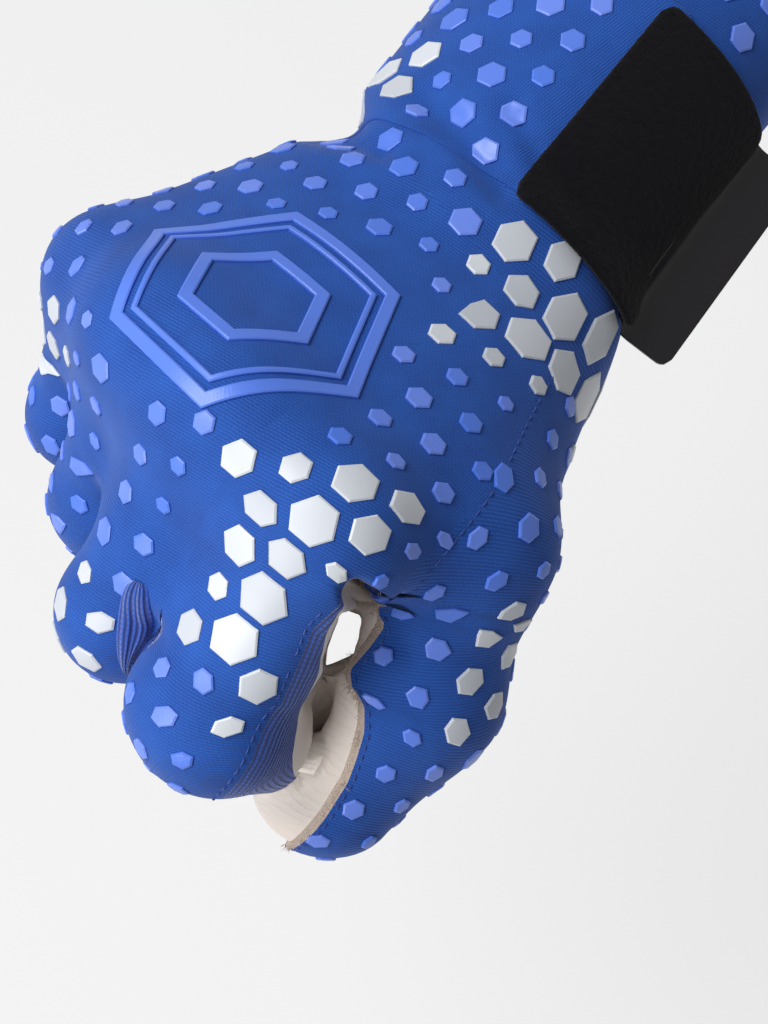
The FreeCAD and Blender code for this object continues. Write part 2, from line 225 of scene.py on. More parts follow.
def skin(p):
    """Signed distance to the glove's outside, negative within: rods of hand, fingers, thumb and cuff
    melted together, less the creases pressed into them."""
    palm = fingers = None
    bridge = 3.0 + 13.0 * smooth(p[:, 2], -36.0, -24.0)
    for name, (_, radii) in FINGERS.items():
        k = BONES[name][:1] + [point + PAD_SHIFT.get(name, 0.0) * SIDE for point in BONES[name][1:]]
        near, wide = PAD_WIDTH.get(name, (1.0, 1.0))
        root = np.array((0, k[0][1] * 0.5, 0))
        bone = rod(p, root, k[0], PALM_RADIUS, radii[0] + PALM_PAD, SIDE, PALM_WIDE)
        chain = rod(p, k[0], k[1], radii[0], radii[1], SIDE, near)
        for i in (1, 2):
            chain = melt(chain, rod(p, k[i], k[i + 1], radii[i], radii[i + 1], SIDE, wide), FINGER_MELT)
        palm = bone if palm is None else melt(palm, bone, PALM_MELT)
        fingers = chain if fingers is None else melt(fingers, chain, bridge)
    shape = melt(palm, fingers, KNUCKLE_MELT)
    thumb = None
    for i, (soft, wide) in enumerate(THUMB_STRETCHES):
        part = rod(p, THUMB[i], THUMB[i + 1], THUMB_RADII[i], THUMB_RADII[i + 1], THUMB_WIDE, wide)
        thumb = part if thumb is None else melt(thumb, part, soft)
    shape = melt(shape, thumb, 14.0 * smooth(p[:, 2], -24.0, -8.0) + 0.5)
    shape = melt(shape, rod(p, *WEB, WEB_RADIUS, WEB_RADIUS), WEB_MELT)
    shape = melt(shape, rod(p, *CUFF, *CUFF_RADII, CUFF_ACROSS, CUFF_WIDE), CUFF_MELT)
    for start, stop, radius, rounding in GAPS:
        shape = -melt(-shape, rod(p, start, stop, radius, radius), rounding)
    for start, stop, width, depth in CREASES:
        shape = shape + depth * np.exp(-((rod(p, start, stop, 0, 0) / width) ** 2))
    return shape


def slope(p, reach=0.3):
    """The outward direction: differences of the formula along the three axes."""
    steps = np.eye(3) * reach
    return unit(np.stack([skin(p + s) - skin(p - s) for s in steps], axis=1))


print("skin at the middle of the palm:", skin(np.array(((-40.0, 0, 0),))).round(2))

# %% [markdown]
# Panels are made like a sleeve round a stick: a route runs through the hand or finger, each point of it
# looks outwards in a fan of rays, and every ray stops at the skin, or at the flat wall that parts one
# finger from the next. The routes round their corners, so the fans never cross.

# %% Routes and rays
ROW_STEP = 1.1
RAY_STEPS, RAY_SHARE = 34, 0.93  # steps of a ray, and the share of the distance that each one takes
END_LEAN = 87  # degrees that the last section of a closed end leans forwards


def rounded(corners, radii, step=ROW_STEP):
    """Centres and directions along a polygon whose corners are arcs of the given radii."""
    corners = [np.asarray(c, float) for c in corners]
    ways = [unit(b - a) for a, b in zip(corners, corners[1:])]
    centres, tangents, here = [], [], corners[0]
    for corner, radius, way, after in zip(corners[1:], list(radii) + [0.0], ways, ways[1:] + [ways[-1]]):
        turn = np.arccos(np.clip(way @ after, -1, 1))
        stop = corner - way * radius * np.tan(turn / 2)
        length = np.linalg.norm(stop - here)
        t = np.linspace(0, 1, max(2, int(np.ceil(length / step)) + 1))[:-1, None]
        centres.append(here + (stop - here) * t)
        tangents.append(way + 0 * t * way)
        if radius > 0:
            inward = unit(after - way * (way @ after))
            count = max(3, int(np.ceil(turn * radius / (step * 0.6))))
            a = np.linspace(0, turn, count + 1)[:-1, None]
            centres.append(stop + radius * (np.sin(a) * way + (1 - np.cos(a)) * inward))
            tangents.append(np.cos(a) * way + np.sin(a) * inward)
            here = corner + after * radius * np.tan(turn / 2)
    centres.append(corners[-1][None])
    tangents.append(ways[-1][None])
    return np.concatenate(centres), unit(np.concatenate(tangents))


def reach(start, way, most):
    """How far each ray goes from inside until it meets the skin, at most `most`: it steps by the
    distance that the formula still gives."""
    t = np.zeros(len(start))
    for _ in range(RAY_STEPS):
        t = np.minimum(t - RAY_SHARE * skin(start + t[:, None] * way), most)
    return np.maximum(t, 0.0)


class Route:
    """A row of section frames: centre, way along, side direction, outward direction and forward tilt."""

    def __init__(self, corners, radii, side, end_rows=0, walls=(None, None)):
        self.c, self.way = rounded(corners, radii)
        self.lean = np.zeros(len(self.c))
        if end_rows:
            self.lean = np.concatenate((self.lean, np.radians(np.linspace(0, END_LEAN, end_rows + 1)[1:])))
            self.c = np.concatenate((self.c, np.repeat(self.c[-1:], end_rows, 0)))
            self.way = np.concatenate((self.way, np.repeat(self.way[-1:], end_rows, 0)))
        self.side = unit(side - self.way * (self.way @ side)[:, None])
        self.out = np.cross(self.side, self.way)
        self.walls = walls
        step = np.linalg.norm(np.diff(self.c, axis=0), axis=1)
        self.s = np.concatenate(((0,), np.cumsum(step)))

    def corner_angle(self, wall, sign, up):
        """The angle, from the side direction up to the back, at which the wall's plane meets the skin:
        from the plane's point nearest the route, a ray climbs (or drops) inside the plane."""
        point, normal = wall
        normal = np.broadcast_to(normal, self.c.shape)
        along, rise = (self.side * normal).sum(axis=1), (self.out * normal).sum(axis=1)
        size = np.hypot(along, rise)
        far = -((self.c - point) * normal).sum(axis=1) / size
        along, rise = along / size, rise / size
        foot_v, foot_w = far * along, far * rise
        climb_v, climb_w = -rise * sign * up, along * sign * up
        foot = self.c + foot_v[:, None] * self.side + foot_w[:, None] * self.out
        climb = climb_v[:, None] * self.side + climb_w[:, None] * self.out
        t = reach(foot, climb, 60.0)
        t[skin(foot) > 0] = 0.0
        return np.degrees(np.arctan2(foot_w + t * climb_w, foot_v + t * climb_v))

    def points(self, angles):
        """Skin points for a table of angles, one row per section."""
        rows, cols = angles.shape
        a = np.radians(angles)[:, :, None]
        flat = np.cos(a) * self.side[:, None] + np.sin(a) * self.out[:, None]
        lean = self.lean[:, None, None]
        way = (np.cos(lean) * flat + np.sin(lean) * self.way[:, None]).reshape(-1, 3)
        start = np.repeat(self.c, cols, axis=0)
        most = np.full(len(start), 80.0)
        for wall in self.walls:
            if wall is not None:
                spread_out = (np.broadcast_to(w, self.c.shape) for w in wall)
                point, normal = (np.repeat(w, cols, axis=0) for w in spread_out)
                facing = (way * normal).sum(axis=1)
                gap = -((start - point) * normal).sum(axis=1)
                most = np.where(facing > 1e-6, np.minimum(most, gap / np.maximum(facing, 1e-6)), most)
        t = reach(start, way, most)
        return (start + t[:, None] * way).reshape(rows, cols, 3)


print("row step:", ROW_STEP, "mm")

# %% [markdown]
# One mesh builder serves every panel. It takes a grid of points, puts the cloth's own measure into the
# UV map in millimetres, so that a weave has its true size everywhere, and hands over the formula's
# normals so that two panels that meet show no line.

# %% Mesh builder
def grid_faces(index, wrap, loop):
    """Four-sided faces of a table of vertex numbers; wrap joins the last column to the first and loop
    the last row to the first."""
    right = np.roll(index, -1, axis=1) if wrap else index[:, 1:]
    left = index if wrap else index[:, :-1]
    rows = slice(None) if loop else slice(0, -1)
    quads = (left[rows], right[rows], np.roll(right, -1, axis=0)[rows], np.roll(left, -1, axis=0)[rows])
    return [tuple(q) for q in np.stack(quads, axis=-1).reshape(-1, 4).tolist()]


def build(name, points, uv=None, material=None, faces=None, on_skin=False, wrap=False, loop=False,
          pole=False, cap=False, flip=False, flat=False, tone=None):
    """A grid of points (rows along, columns from the thumb's side to the little finger's) as a mesh.
    pole closes the last row with one point, cap closes both end rows with one face each, on_skin takes
    the normals from the formula, and tone is a value per point for the material to read."""
    if faces is None:
        index = np.arange(points.shape[0] * points.shape[1]).reshape(points.shape[:2])
        faces = grid_faces(index, wrap, loop)
        points = points.reshape(-1, 3)
        if cap:
            faces += [tuple(index[0][::-1].tolist()), tuple(index[-1].tolist())]
        if pole:
            last = index[-1].tolist()
            ring = list(zip(last, last[1:] + last[:1])) if wrap else list(zip(last, last[1:]))
            faces += [(a, b, len(points)) for a, b in ring]
            points = np.vstack((points, points[index[-1]].mean(axis=0)))
            if uv is not None:
                uv = np.vstack((uv.reshape(-1, 2), uv[-1].mean(axis=0)))
    if flip:
        faces = [f[::-1] for f in faces]
    mesh = bpy.data.meshes.new(name)
    mesh.from_pydata((to_row(points) * MM).tolist(), [], faces)
    mesh.polygons.foreach_set("use_smooth", np.full(len(faces), not flat))
    if uv is not None:
        corners = np.empty(len(mesh.loops), int)
        mesh.loops.foreach_get("vertex_index", corners)
        layer = mesh.uv_layers.new(name="cloth")
        layer.data.foreach_set("uv", np.asarray(uv, float).reshape(-1, 2)[corners].ravel())
    if tone is not None:
        mesh.attributes.new("tone", "FLOAT", "POINT").data.foreach_set("value", tone)
    if on_skin:
        mesh.normals_split_custom_set_from_vertices((slope(points) @ HAND).tolist())
    piece = bpy.data.objects.new(name, mesh)
    bpy.context.scene.collection.objects.link(piece)
    if material is not None:
        mesh.materials.append(material)
    return piece


print("mesh builder ready")

# %% [markdown]
# Materials come before the pieces, so that each piece is made with its finish on. Colours are written as
# they look, 0 to 255, and turned into the linear values that shaders use.

# %% Material helpers
def paint(r, g, b):
    """A screen colour as linear RGBA: the standard screen curve undone."""
    c = np.array((r, g, b)) / 255
    lin = np.where(c <= 0.04045, c / 12.92, ((c + 0.055) / 1.055) ** 2.4)
    return (*[float(x) for x in lin], 1.0)


class Finish:
    """A new material with its shader and a short way to add and join nodes."""

    def __init__(self, name, roughness, **sockets):
        self.material = bpy.data.materials.new(name)
        self.material.use_nodes = True
        self.tree = self.material.node_tree
        self.shader = self.tree.nodes["Principled BSDF"]
        self.shader.inputs["Roughness"].default_value = roughness
        for socket, value in sockets.items():
            self.shader.inputs[socket.replace("_", " ")].default_value = value

    def node(self, kind, settings=None, **inputs):
        """Add a node, set its properties, and fill its inputs with values or other nodes' outputs."""
        made = self.tree.nodes.new("ShaderNode" + kind)
        for key, value in (settings or {}).items():
            setattr(made, key, value)
        for key, value in inputs.items():
            slot = made.inputs[int(key[1:])] if key[0] == "i" and key[1:].isdigit() else made.inputs[key]
            if isinstance(value, bpy.types.NodeSocket):
                self.tree.links.new(value, slot)
            else:
                slot.default_value = value
        return made

    def math(self, operation, a, b=0.0):
        """One operation on two values or outputs."""
        return self.node("Math", {"operation": operation}, i0=a, i1=b).outputs[0]

    def add(self, a, b):
        """The sum of two values or outputs."""
        return self.math("ADD", a, b)

    def times(self, a, b):
        """The product of two values or outputs."""
        return self.math("MULTIPLY", a, b)

    def wave(self, value, pitch):
        """A sine that repeats every pitch, brought from -1 to 1 into 0 to 1."""
        return self.add(self.times(self.math("SINE", self.times(value, 2 * np.pi / pitch)), 0.5), 0.5)

    def noise(self, vector, scale, detail=2.0):
        """Cloudy noise from 0 to 1."""
        made = self.node("TexNoise", None, Vector=vector, Scale=scale, Detail=detail)
        return made.outputs["Fac"]

    def mix(self, share, a, b):
        """Colour a where the share is 0 and colour b where it is 1."""
        made = self.node("Mix", {"data_type": "RGBA"})
        for slot, value in ((0, share), (6, a), (7, b)):
            if isinstance(value, bpy.types.NodeSocket):
                self.tree.links.new(value, made.inputs[slot])
            else:
                made.inputs[slot].default_value = value
        return made.outputs[2]

    def colour(self, value):
        """Use an output as the surface's colour."""
        self.tree.links.new(value, self.shader.inputs["Base Color"])

    def bump(self, height, depth_mm, below=None):
        """Raise the surface by a height of 0 to 1 times a depth in millimetres."""
        made = self.node("Bump", None, Strength=1.0, Distance=depth_mm * MM, Height=height)
        if below is not None:
            self.tree.links.new(below, made.inputs["Normal"])
        self.tree.links.new(made.outputs[0], self.shader.inputs["Normal"])
        return made.outputs[0]

    def cloth(self):
        """The piece's own UV map: millimetres along and across the cloth."""
        uv = self.node("UVMap", {"uv_map": "cloth"}).outputs[0]
        parts = self.node("SeparateXYZ", None, Vector=uv)
        return uv, parts.outputs[0], parts.outputs[1]

    def place(self):
        """Object coordinates in metres."""
        return self.node("TexCoord").outputs["Object"]


print("material helpers ready")

# %% [markdown]
# The back is a stretch fabric with fine slanting ribs. The ribs are a wave across a slanting line of the
# cloth's own measure, bent a little by noise, and the blue between them is painted darker, a painted shade.

# %% Fabric of the back
def fabric_finish(name, lit, deep):
    """Slanting ribs broken into dashes, plus grain and slow clouds, mixed from deep to lit: the grooves
    between ribs get painted shade, while grain and clouds are the cloth's own tone.
    """
    f = Finish(name, 0.8, Sheen_Weight=0.12, Sheen_Roughness=0.45, Specular_IOR_Level=0.25)
    uv, along, across = f.cloth()
    wobble = f.times(f.noise(uv, 0.35), 0.25)
    slant = f.add(f.add(f.times(along, 0.97), f.times(across, -0.22)), wobble)
    wave = f.wave(slant, 0.66)
    dash = f.wave(f.add(across, slant), 0.9)
    wave = f.times(wave, f.add(f.times(dash, 0.45), 0.65))
    grain = f.noise(uv, 2.6, 3.0)
    cloudy = f.noise(uv, 0.09, 2.0)
    # the rib wave paints shade into the grooves; grain and clouds vary the cloth's own tone
    share = f.add(f.times(wave, 0.36), f.times(grain, 0.5))
    share = f.add(share, f.times(f.math("SUBTRACT", cloudy, 0.5), 0.5))
    f.colour(f.mix(share, deep, lit))
    f.bump(f.add(wave, f.times(grain, 0.8)), 0.07)
    return f.material


fabric = fabric_finish("rib fabric", paint(42, 102, 200), paint(20, 54, 124))
print(fabric.name)

# %% [markdown]
# The side walls are a soft rib knit: round ribs that run along the finger, each broken by small loops.
# Its colour is painted darker where the knit lies low, a painted shade between ribs and loops.

# %% Rib knit
def knit_finish():
    """Ribs along the finger, loops across them, and fluff over both; the low places are painted darker as
    shade.
    """
    f = Finish("rib knit", 0.9, Sheen_Weight=0.35, Sheen_Roughness=0.5, Specular_IOR_Level=0.2)
    uv, along, across = f.cloth()
    sway = f.times(f.noise(uv, 0.18), 0.5)
    rib = f.wave(f.add(across, sway), 1.25)
    loop = f.wave(f.add(along, sway), 1.1)
    fluff = f.noise(uv, 2.2, 3.0)
    height = f.add(f.times(rib, 0.7), f.times(f.times(rib, loop), 0.3))
    height = f.add(height, f.times(fluff, 0.3))
    # colour follows the height: painted shade between ribs and loops, plus the fluff's own tone
    f.colour(f.mix(f.times(height, 0.85), paint(24, 44, 104), paint(62, 100, 196)))
    f.bump(height, 0.3)
    return f.material


knit = knit_finish()
print(knit.name)

# %% [markdown]
# Foam latex is matt and pale, with fine pores and soft folds across the finger where it has been bent;
# the folds are painted a little darker, a painted shade.
# Its cut edge is rougher and browner, because the open cells show.

# %% Foam latex
def latex_finish(name, pale, shade, pores, folds):
    """Sharp folds (a wave to the third power), fine pores and slow stains, mixed from pale to shade: the
    folds are painted shade, and the pores and stains are the foam's own tone.
    """
    f = Finish(name, 0.72, Specular_IOR_Level=0.3, Subsurface_Weight=0.08)
    f.shader.inputs["Subsurface Radius"].default_value = (0.004, 0.0025, 0.0015)
    uv, along, across = f.cloth()
    sway = f.times(f.noise(uv, 0.12), 9.0)
    fold = f.wave(f.add(along, sway), 2.6)
    fold = f.math("POWER", fold, 3.0)
    fine = f.noise(uv, 3.2, 4.0)
    stain = f.noise(uv, 0.08, 2.0)
    # the folds' share is painted shade in the creases; pores and stains are the foam's own tone
    share = f.add(f.times(fold, 0.3 * folds), f.times(fine, 0.3))
    share = f.add(share, f.times(stain, 0.3))
    f.colour(f.mix(share, pale, shade))
    f.bump(f.add(f.times(fold, folds), f.times(fine, pores)), 0.25)
    return f.material


latex = latex_finish("foam latex", paint(243, 235, 228), paint(216, 200, 188), 0.35, 0.2)
raw_edge = latex_finish("cut foam", paint(228, 212, 198), paint(164, 138, 122), 3.0, 0.0)
print(latex.name, raw_edge.name)

# %% [markdown]
# The printed hexagons are silicone: smooth, a little soft in their shine, each printed flat. Blue ones
# vary a little from hexagon to hexagon, which an attribute on the mesh carries.

# %% Silicone print
def print_finish(name, one, other):
    """One colour to the other by the print's own tone, under a fine grain."""
    f = Finish(name, 0.36, Specular_IOR_Level=0.45, Subsurface_Weight=0.0)
    tone = f.node("Attribute", {"attribute_name": "tone"}).outputs["Fac"]
    grain = f.noise(f.place(), 1400.0, 2.0)
    f.colour(f.mix(tone, one, other))
    f.bump(grain, 0.03)
    return f.material


print_blue = print_finish("blue silicone", paint(70, 114, 216), paint(104, 134, 228))
print_white = print_finish("white silicone", paint(188, 193, 202), paint(210, 215, 222))
print(print_blue.name, print_white.name)

# %% [markdown]
# The strap is black loop pile with a glossy moulded tab; hooks sit under its end. The cuff's mouth is
# bound with woven tape and lined with a smooth dark knit.

# %% Strap, tape and lining finishes
def pile_finish():
    """Fine hair over coarser tufts."""
    f = Finish("black loop pile", 0.95, Sheen_Weight=0.06, Sheen_Roughness=0.5, Specular_IOR_Level=0.1)
    hair = f.noise(f.place(), 2600.0, 4.0)
    tuft = f.noise(f.place(), 620.0, 3.0)
    height = f.add(f.times(hair, 0.6), tuft)
    f.colour(f.mix(f.times(height, 0.55), paint(2, 2, 3), paint(22, 21, 28)))
    f.bump(height, 0.5)
    return f.material


def gloss_finish():
    """A smooth dark surface with faint clouds."""
    f = Finish("glossy moulded tab", 0.34, Coat_Weight=0.05, Coat_Roughness=0.15, Specular_IOR_Level=0.22)
    cloud = f.noise(f.place(), 90.0, 3.0)
    f.colour(f.mix(cloud, paint(6, 3, 8), paint(15, 10, 17)))
    f.bump(cloud, 0.12)
    return f.material


def hook_finish():
    """Dots where the waves along and across the tape both stand high."""
    f = Finish("hook tape", 0.5)
    uv, along, across = f.cloth()
    rows = f.wave(along, 1.3)
    dots = f.wave(across, 1.6)
    height = f.math("POWER", f.times(rows, dots), 1.5)
    f.colour(f.mix(height, paint(14, 14, 17), paint(46, 45, 52)))
    f.bump(height, 0.6)
    return f.material


def tape_finish(name, dark, light, pitch):
    """A plain weave: the product of a wave along and a wave across, plus noise; the low places between
    threads are painted darker as shade.
    """
    f = Finish(name, 0.85, Sheen_Weight=0.2, Specular_IOR_Level=0.2)
    uv, along, across = f.cloth()
    warp = f.wave(along, pitch)
    weft = f.wave(across, pitch)
    height = f.add(f.times(f.times(warp, weft), 0.7), f.noise(uv, 1.5))
    # colour follows the weave's height: painted shade between the threads, plus noise tone
    f.colour(f.mix(height, dark, light))
    f.bump(height, 0.2)
    return f.material


pile, gloss, hooks = pile_finish(), gloss_finish(), hook_finish()
tape = tape_finish("woven tape", paint(20, 38, 92), paint(48, 84, 170), 0.9)
lining = tape_finish("smooth lining", paint(16, 26, 60), paint(40, 60, 118), 0.7)
thread = tape_finish("sewing thread", paint(24, 42, 96), paint(66, 96, 186), 0.5)
print([m.name for m in (pile, gloss, hooks, tape, lining, thread)])

# %% [markdown]
# One digit is one grid of rays. Four of its columns are the cuts between panels: the fabric back ends
# where the wall towards the next finger comes up to the skin, or further up where the knit side wall
# shows. Columns are then spread evenly between the cuts, so every cut is a clean edge.

# %% From rays to panels
BACK_COLUMNS, WALL_COLUMNS, PALM_COLUMNS = ((40, 12, 34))
HAND_START = -18.0  # where the sleeve hands over to the fingers
TUCK = 6.0  # how far the fingers' panels start inside the sleeve, and the sleeve ends inside them
SUNK = 0.3  # how deep a digit's panels lie where the sleeve covers them
SINK_STRETCH = (0.2, 1.0)  # past the hand-over, where it goes down to that


def spread(first, last, count):
    """Evenly spaced values from one column array to another, as a table."""
    t = np.linspace(0, 1, count + 1)
    return first[:, None] + (last - first)[:, None] * t


def hidden(d, side=1):
    """How far under the other cloth each point of a tube lies, 0 to 1: past the hand-over towards the
    fingers (side 1) or towards the cuff (side -1)."""
    return smooth(side * (d.grid[..., 0] - HAND_START), *SINK_STRETCH)


class Digit:
    """The panels' grids of one tube: angles fall from the thumb's side over the back and round."""

    def __init__(self, route, back_edges, palm_edges, strips=(None, None)):
        """back_edges and palm_edges hold, for the thumb's and the little finger's side, how many degrees
        above (or below) the side direction each panel ends. A strip fixes how many degrees wide the
        wall on that side is, wherever the parting wall stands."""
        self.route = route
        n = len(route.s)
        thumb_top, little_top = back_edges[0] + 0 * route.s, back_edges[1] + 0 * route.s
        thumb_low, little_low = palm_edges[0] + 0 * route.s, palm_edges[1] + 0 * route.s
        for i, (wall, sign) in enumerate(zip(route.walls, (-1, 1))):
            if wall is None:
                continue
            top = route.corner_angle(wall, sign, 1)
            low = route.corner_angle(wall, sign, -1)
            if i == 0:
                top = np.where(top < -90, top + 360, top)
                low = np.where(low > 90, low - 360, low)
                thumb_top = np.maximum(thumb_top, 180 - top)
                thumb_low = np.maximum(thumb_low, 180 + low)
            else:
                little_top = np.maximum(little_top, top)
                little_low = np.maximum(little_low, -low)
        if strips[0] is not None:
            thumb_low = strips[0] - thumb_top
        if strips[1] is not None:
            little_low = strips[1] - little_top
        cuts = (180 - thumb_top, little_top, -little_low, thumb_low - 180, -180 - thumb_top)
        tables = [
            spread(cuts[0], cuts[1], BACK_COLUMNS),
            spread(cuts[1], cuts[2], WALL_COLUMNS)[:, 1:],
            spread(cuts[2], cuts[3], PALM_COLUMNS)[:, 1:],
            spread(cuts[3], cuts[4], WALL_COLUMNS)[:, 1:],
        ]
        self.angles = np.concatenate(tables, axis=1)
        self.grid = route.points(self.angles)
        b, w, p = BACK_COLUMNS, WALL_COLUMNS, PALM_COLUMNS
        self.cols = {
            "back": slice(0, b + 1),
            "little_wall": slice(b, b + w + 1),
            "palm": slice(b + w, b + w + p + 1),
            "thumb_wall": slice(b + w + p, b + 2 * w + p + 1),
        }
        self.middle = BACK_COLUMNS // 2
        gaps = np.linalg.norm(np.diff(self.grid[:, self.middle], axis=0), axis=1)
        self.along = np.concatenate(((0,), np.cumsum(gaps))) - TUCK
        gaps = np.linalg.norm(np.diff(self.grid, axis=1), axis=2)
        self.arc = np.concatenate((np.zeros((n, 1)), np.cumsum(gaps, axis=1)), axis=1)

    def sink(self, depth):
        """Lower the grid's points by depths given for each of them."""
        flat = self.grid.reshape(-1, 3)
        self.grid = (flat - depth.reshape(-1, 1) * slope(flat)).reshape(self.grid.shape)

    def across(self, sides):
        """The cloth's measure across the back: tied to the walls' places where they have one, so that
        it runs on from finger to finger, and plain length over the skin beyond them."""
        arc = self.arc[:, self.cols["back"]]
        whole = arc[:, -1:]
        if sides[0] is not None and sides[1] is not None:
            return sides[0] + arc / whole * (sides[1] - sides[0])
        if sides[1] is not None:
            return sides[1] - (whole - arc)
        if sides[0] is not None:
            return sides[0] + arc
        return arc - arc[:, self.middle, None]

    def panel(self, name, part, rows, material, uv=None, **extra):
        """One panel's mesh: a block of the grid."""
        cols = self.cols[part]
        points = self.grid[rows, cols]
        if uv is None:
            along = np.repeat(self.along[rows, None], points.shape[1], axis=1)
            arc = self.arc[rows, cols]
            if part == "thumb_wall":  # measured from the fabric's edge, so that its ribs follow that edge
                arc = arc - arc[:, -1:]
            uv = np.stack((along, arc), axis=-1)
        else:
            uv = uv[rows]
        return build(name, points, uv, material=material, **extra)


print("columns round a finger:", BACK_COLUMNS + 2 * WALL_COLUMNS + PALM_COLUMNS)

# %% [markdown]
# The four fingers start inside the hand, a short way past the wrist. Flat walls part them: three stand
# midway between the knuckles, and a slanting one parts the index finger from the thumb.

# %% The four fingers' routes
ORDER = ["index", "middle", "ring", "little"]
START_SIDES = {"index": (-33.0, 8.0), "middle": (-14.0, 2.0), "ring": (9.5, 1.0), "little": (29.0, -3.0)}
SEAMS = [(BONES[a][0][1] + BONES[b][0][1]) / 2 for a, b in zip(ORDER, ORDER[1:])]
KNUCKLE_ROUND, MIDDLE_ROUND, END_ROUND = 24.0, 16.0, 18.0
WEB_POINT = np.array((-50.0, -42.0, -6.5))
WEB_FACING = unit((-0.374, 0.679, 0.631))  # from the thumb to the index finger
PARTING = [
    # the planes that part thumb and index finger: in the web, along the gap, and at the thumb's end
    (WEB_POINT, WEB_FACING),
    (np.array((-74.1, -51.1, -29.6)), unit((-0.841, 0.462, 0.280))),
    (np.array((-76.5, -53.5, -60.5)), unit((0.0, 0.954, 0.300))),
]


def past(route, place):
    """How far, along the route, each row lies past the row nearest a place."""
    nearest = np.argmin(np.linalg.norm(route.c - place, axis=1))
    return route.s - route.s[nearest]


def web_wall(route, root, sign, swings, lap=0.0):
    """The wall between thumb and index finger, row by row: each swing gives from where to where, past
    the digit's root, it turns into the next of the parting planes. In the web, one side may lap over
    the other by a few millimetres."""
    gone = past(route, root)
    point, facing = (np.broadcast_to(v, route.c.shape) for v in PARTING[0])
    for (next_point, next_facing), (low, high) in zip(PARTING[1:], swings):
        share = smooth(gone, low, high)[:, None]
        point = point * (1 - share) + next_point * share
        facing = facing * (1 - share) + next_facing * share
    facing = unit(facing)
    return point - facing * (lap * (1 - smooth(gone, 1, 6)))[:, None], sign * facing


def finger_route(name):
    """The rounded route of one finger with the walls on its two sides."""
    i = ORDER.index(name)
    y, z = START_SIDES[name]
    start = np.array((HAND_START + TUCK, y, z))
    thumb_wall = (np.array((0, SEAMS[i - 1], 0)), -SIDE) if i else None
    little_wall = (np.array((0, SEAMS[i], 0)), SIDE) if i < 3 else None
    corners = [start] + BONES[name]
    radii = (KNUCKLE_ROUND if name != "little" else 20.0, MIDDLE_ROUND, END_ROUND)
    route = Route(corners, radii, SIDE, walls=(thumb_wall, little_wall))
    if i == 0:
        route.walls = (web_wall(route, BONES[name][0], -1, ((6, 15), (52, 66)), lap=2.5), little_wall)
    return route


KNIT_START = 26.0  # past the knuckle, where the knit between two fingers begins to show
KNIT_SHOWS = 34.0  # degrees of it above the side direction
# past the index finger's knuckle: how many degrees above the side its fabric ends, and how many
# degrees wide the knit beside it is
INDEX_FABRIC = ((-5, 2, 6, 13, 18, 30, 38, 44, 60), (-20, -14, 30, 30, 24, 15, 25, 38, 42))
INDEX_KNIT = ((0, 8, 13, 18, 24, 30, 38, 44, 60), (5, 6, 12, 19, 27, 31, 42, 44, 34))
digits, sheets = {}, {}
for name in ORDER:
    route = finger_route(name)
    gone = past(route, BONES[name][0])
    between = -60 + (60 + KNIT_SHOWS) * smooth(gone, KNIT_START - 6, KNIT_START + 5)
    thumb_side, thumb_strip = between, None
    if name == "index":
        thumb_side, thumb_strip = np.interp(gone, *INDEX_FABRIC), np.interp(gone, *INDEX_KNIT)
    little_side = 14.0 + 0 * gone if name == "little" else between
    digits[name] = Digit(route, (thumb_side, little_side), (38.0, 38.0), (thumb_strip, None))
    digits[name].sink(0.3 * smooth(digits[name].grid[..., 0], HAND_START + 0.2, HAND_START + 1.0))
    i = ORDER.index(name)
    seams = (SEAMS[i - 1] if i else None, SEAMS[i] if i < 3 else None)
    sheets[name] = digits[name].across(seams)
    print(name, digits[name].grid.shape, "length over the back", digits[name].along[-1].round(1), "mm")

# %% [markdown]
# The sleeve runs from the cuff's mouth, bends back at the wrist and ends under the fingers' panels. It
# crosses the wrist hinge.

# %% Sleeve
MOUTH = to_hand((0, 0, 0))
sleeve_route = Route([MOUTH, to_hand(WRIST), np.array((HAND_START - TUCK, 0, 0))], [60.0], SIDE)
sleeve = Digit(sleeve_route, (-24.0, 0.0), (46.0, 34.0))
sleeve.along = sleeve.along - sleeve.along[-1] + TUCK
sleeve.sink(0.35 * smooth(HAND_START - sleeve.grid[..., 0], 0.2, 1.0))
# the fingers' measure across runs on over the sleeve: at its end the middle column's own side place
sleeve_across = sleeve.across((None, None)) + sleeve.grid[-1, sleeve.middle, 1]


def blend_over(piece, place):
    """Bake the piece's transform into its mesh; it is not blended from one body to the next."""
    place = np.asarray(place)
    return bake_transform(piece)


def wrist_blend(piece):
    return blend_over(piece, (0, 0, 0))


every = slice(None)
sleeve_uv = np.stack((np.repeat(sleeve.along[:, None], sleeve_across.shape[1], 1), sleeve_across), -1)
sleeve_back = sleeve.panel("sleeve_back", "back", every, fabric, uv=sleeve_uv, on_skin=True)
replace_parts(wrist_blend(sleeve_back), "cuff_back")
for part, label in (("little_wall", "little_side"), ("thumb_wall", "thumb_side")):
    side = sleeve.panel("sleeve_" + label, part, every, knit, on_skin=True)
    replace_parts(wrist_blend(side), "cuff_elastic_sides")
sleeve_palm = sleeve.panel("sleeve_palm", "palm", every, latex, on_skin=True)
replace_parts(wrist_blend(sleeve_palm), "cuff_palm")
print("sleeve", sleeve.grid.shape)

# %% [markdown]
# Each finger is cut in two halfway between its joints: a near half and a far half.

# %% Finger panels
KNUCKLE_BLEND, MIDDLE_BLEND = 17.0, 13.0


def halfway(name):
    """The row halfway between the knuckle and the middle joint."""
    return int(np.argmin(np.abs(past(digits[name].route, (BONES[name][0] + BONES[name][1]) / 2))))


def finger_blend(piece, name, far):
    """Hand the middle joint (far) or the knuckle to blend_over, which only bakes the piece in place."""
    which, half = (1, MIDDLE_BLEND) if far else (0, KNUCKLE_BLEND)
    return blend_over(piece, BONES[name][which])


END_ROWS, END_COLUMNS = 10, 48


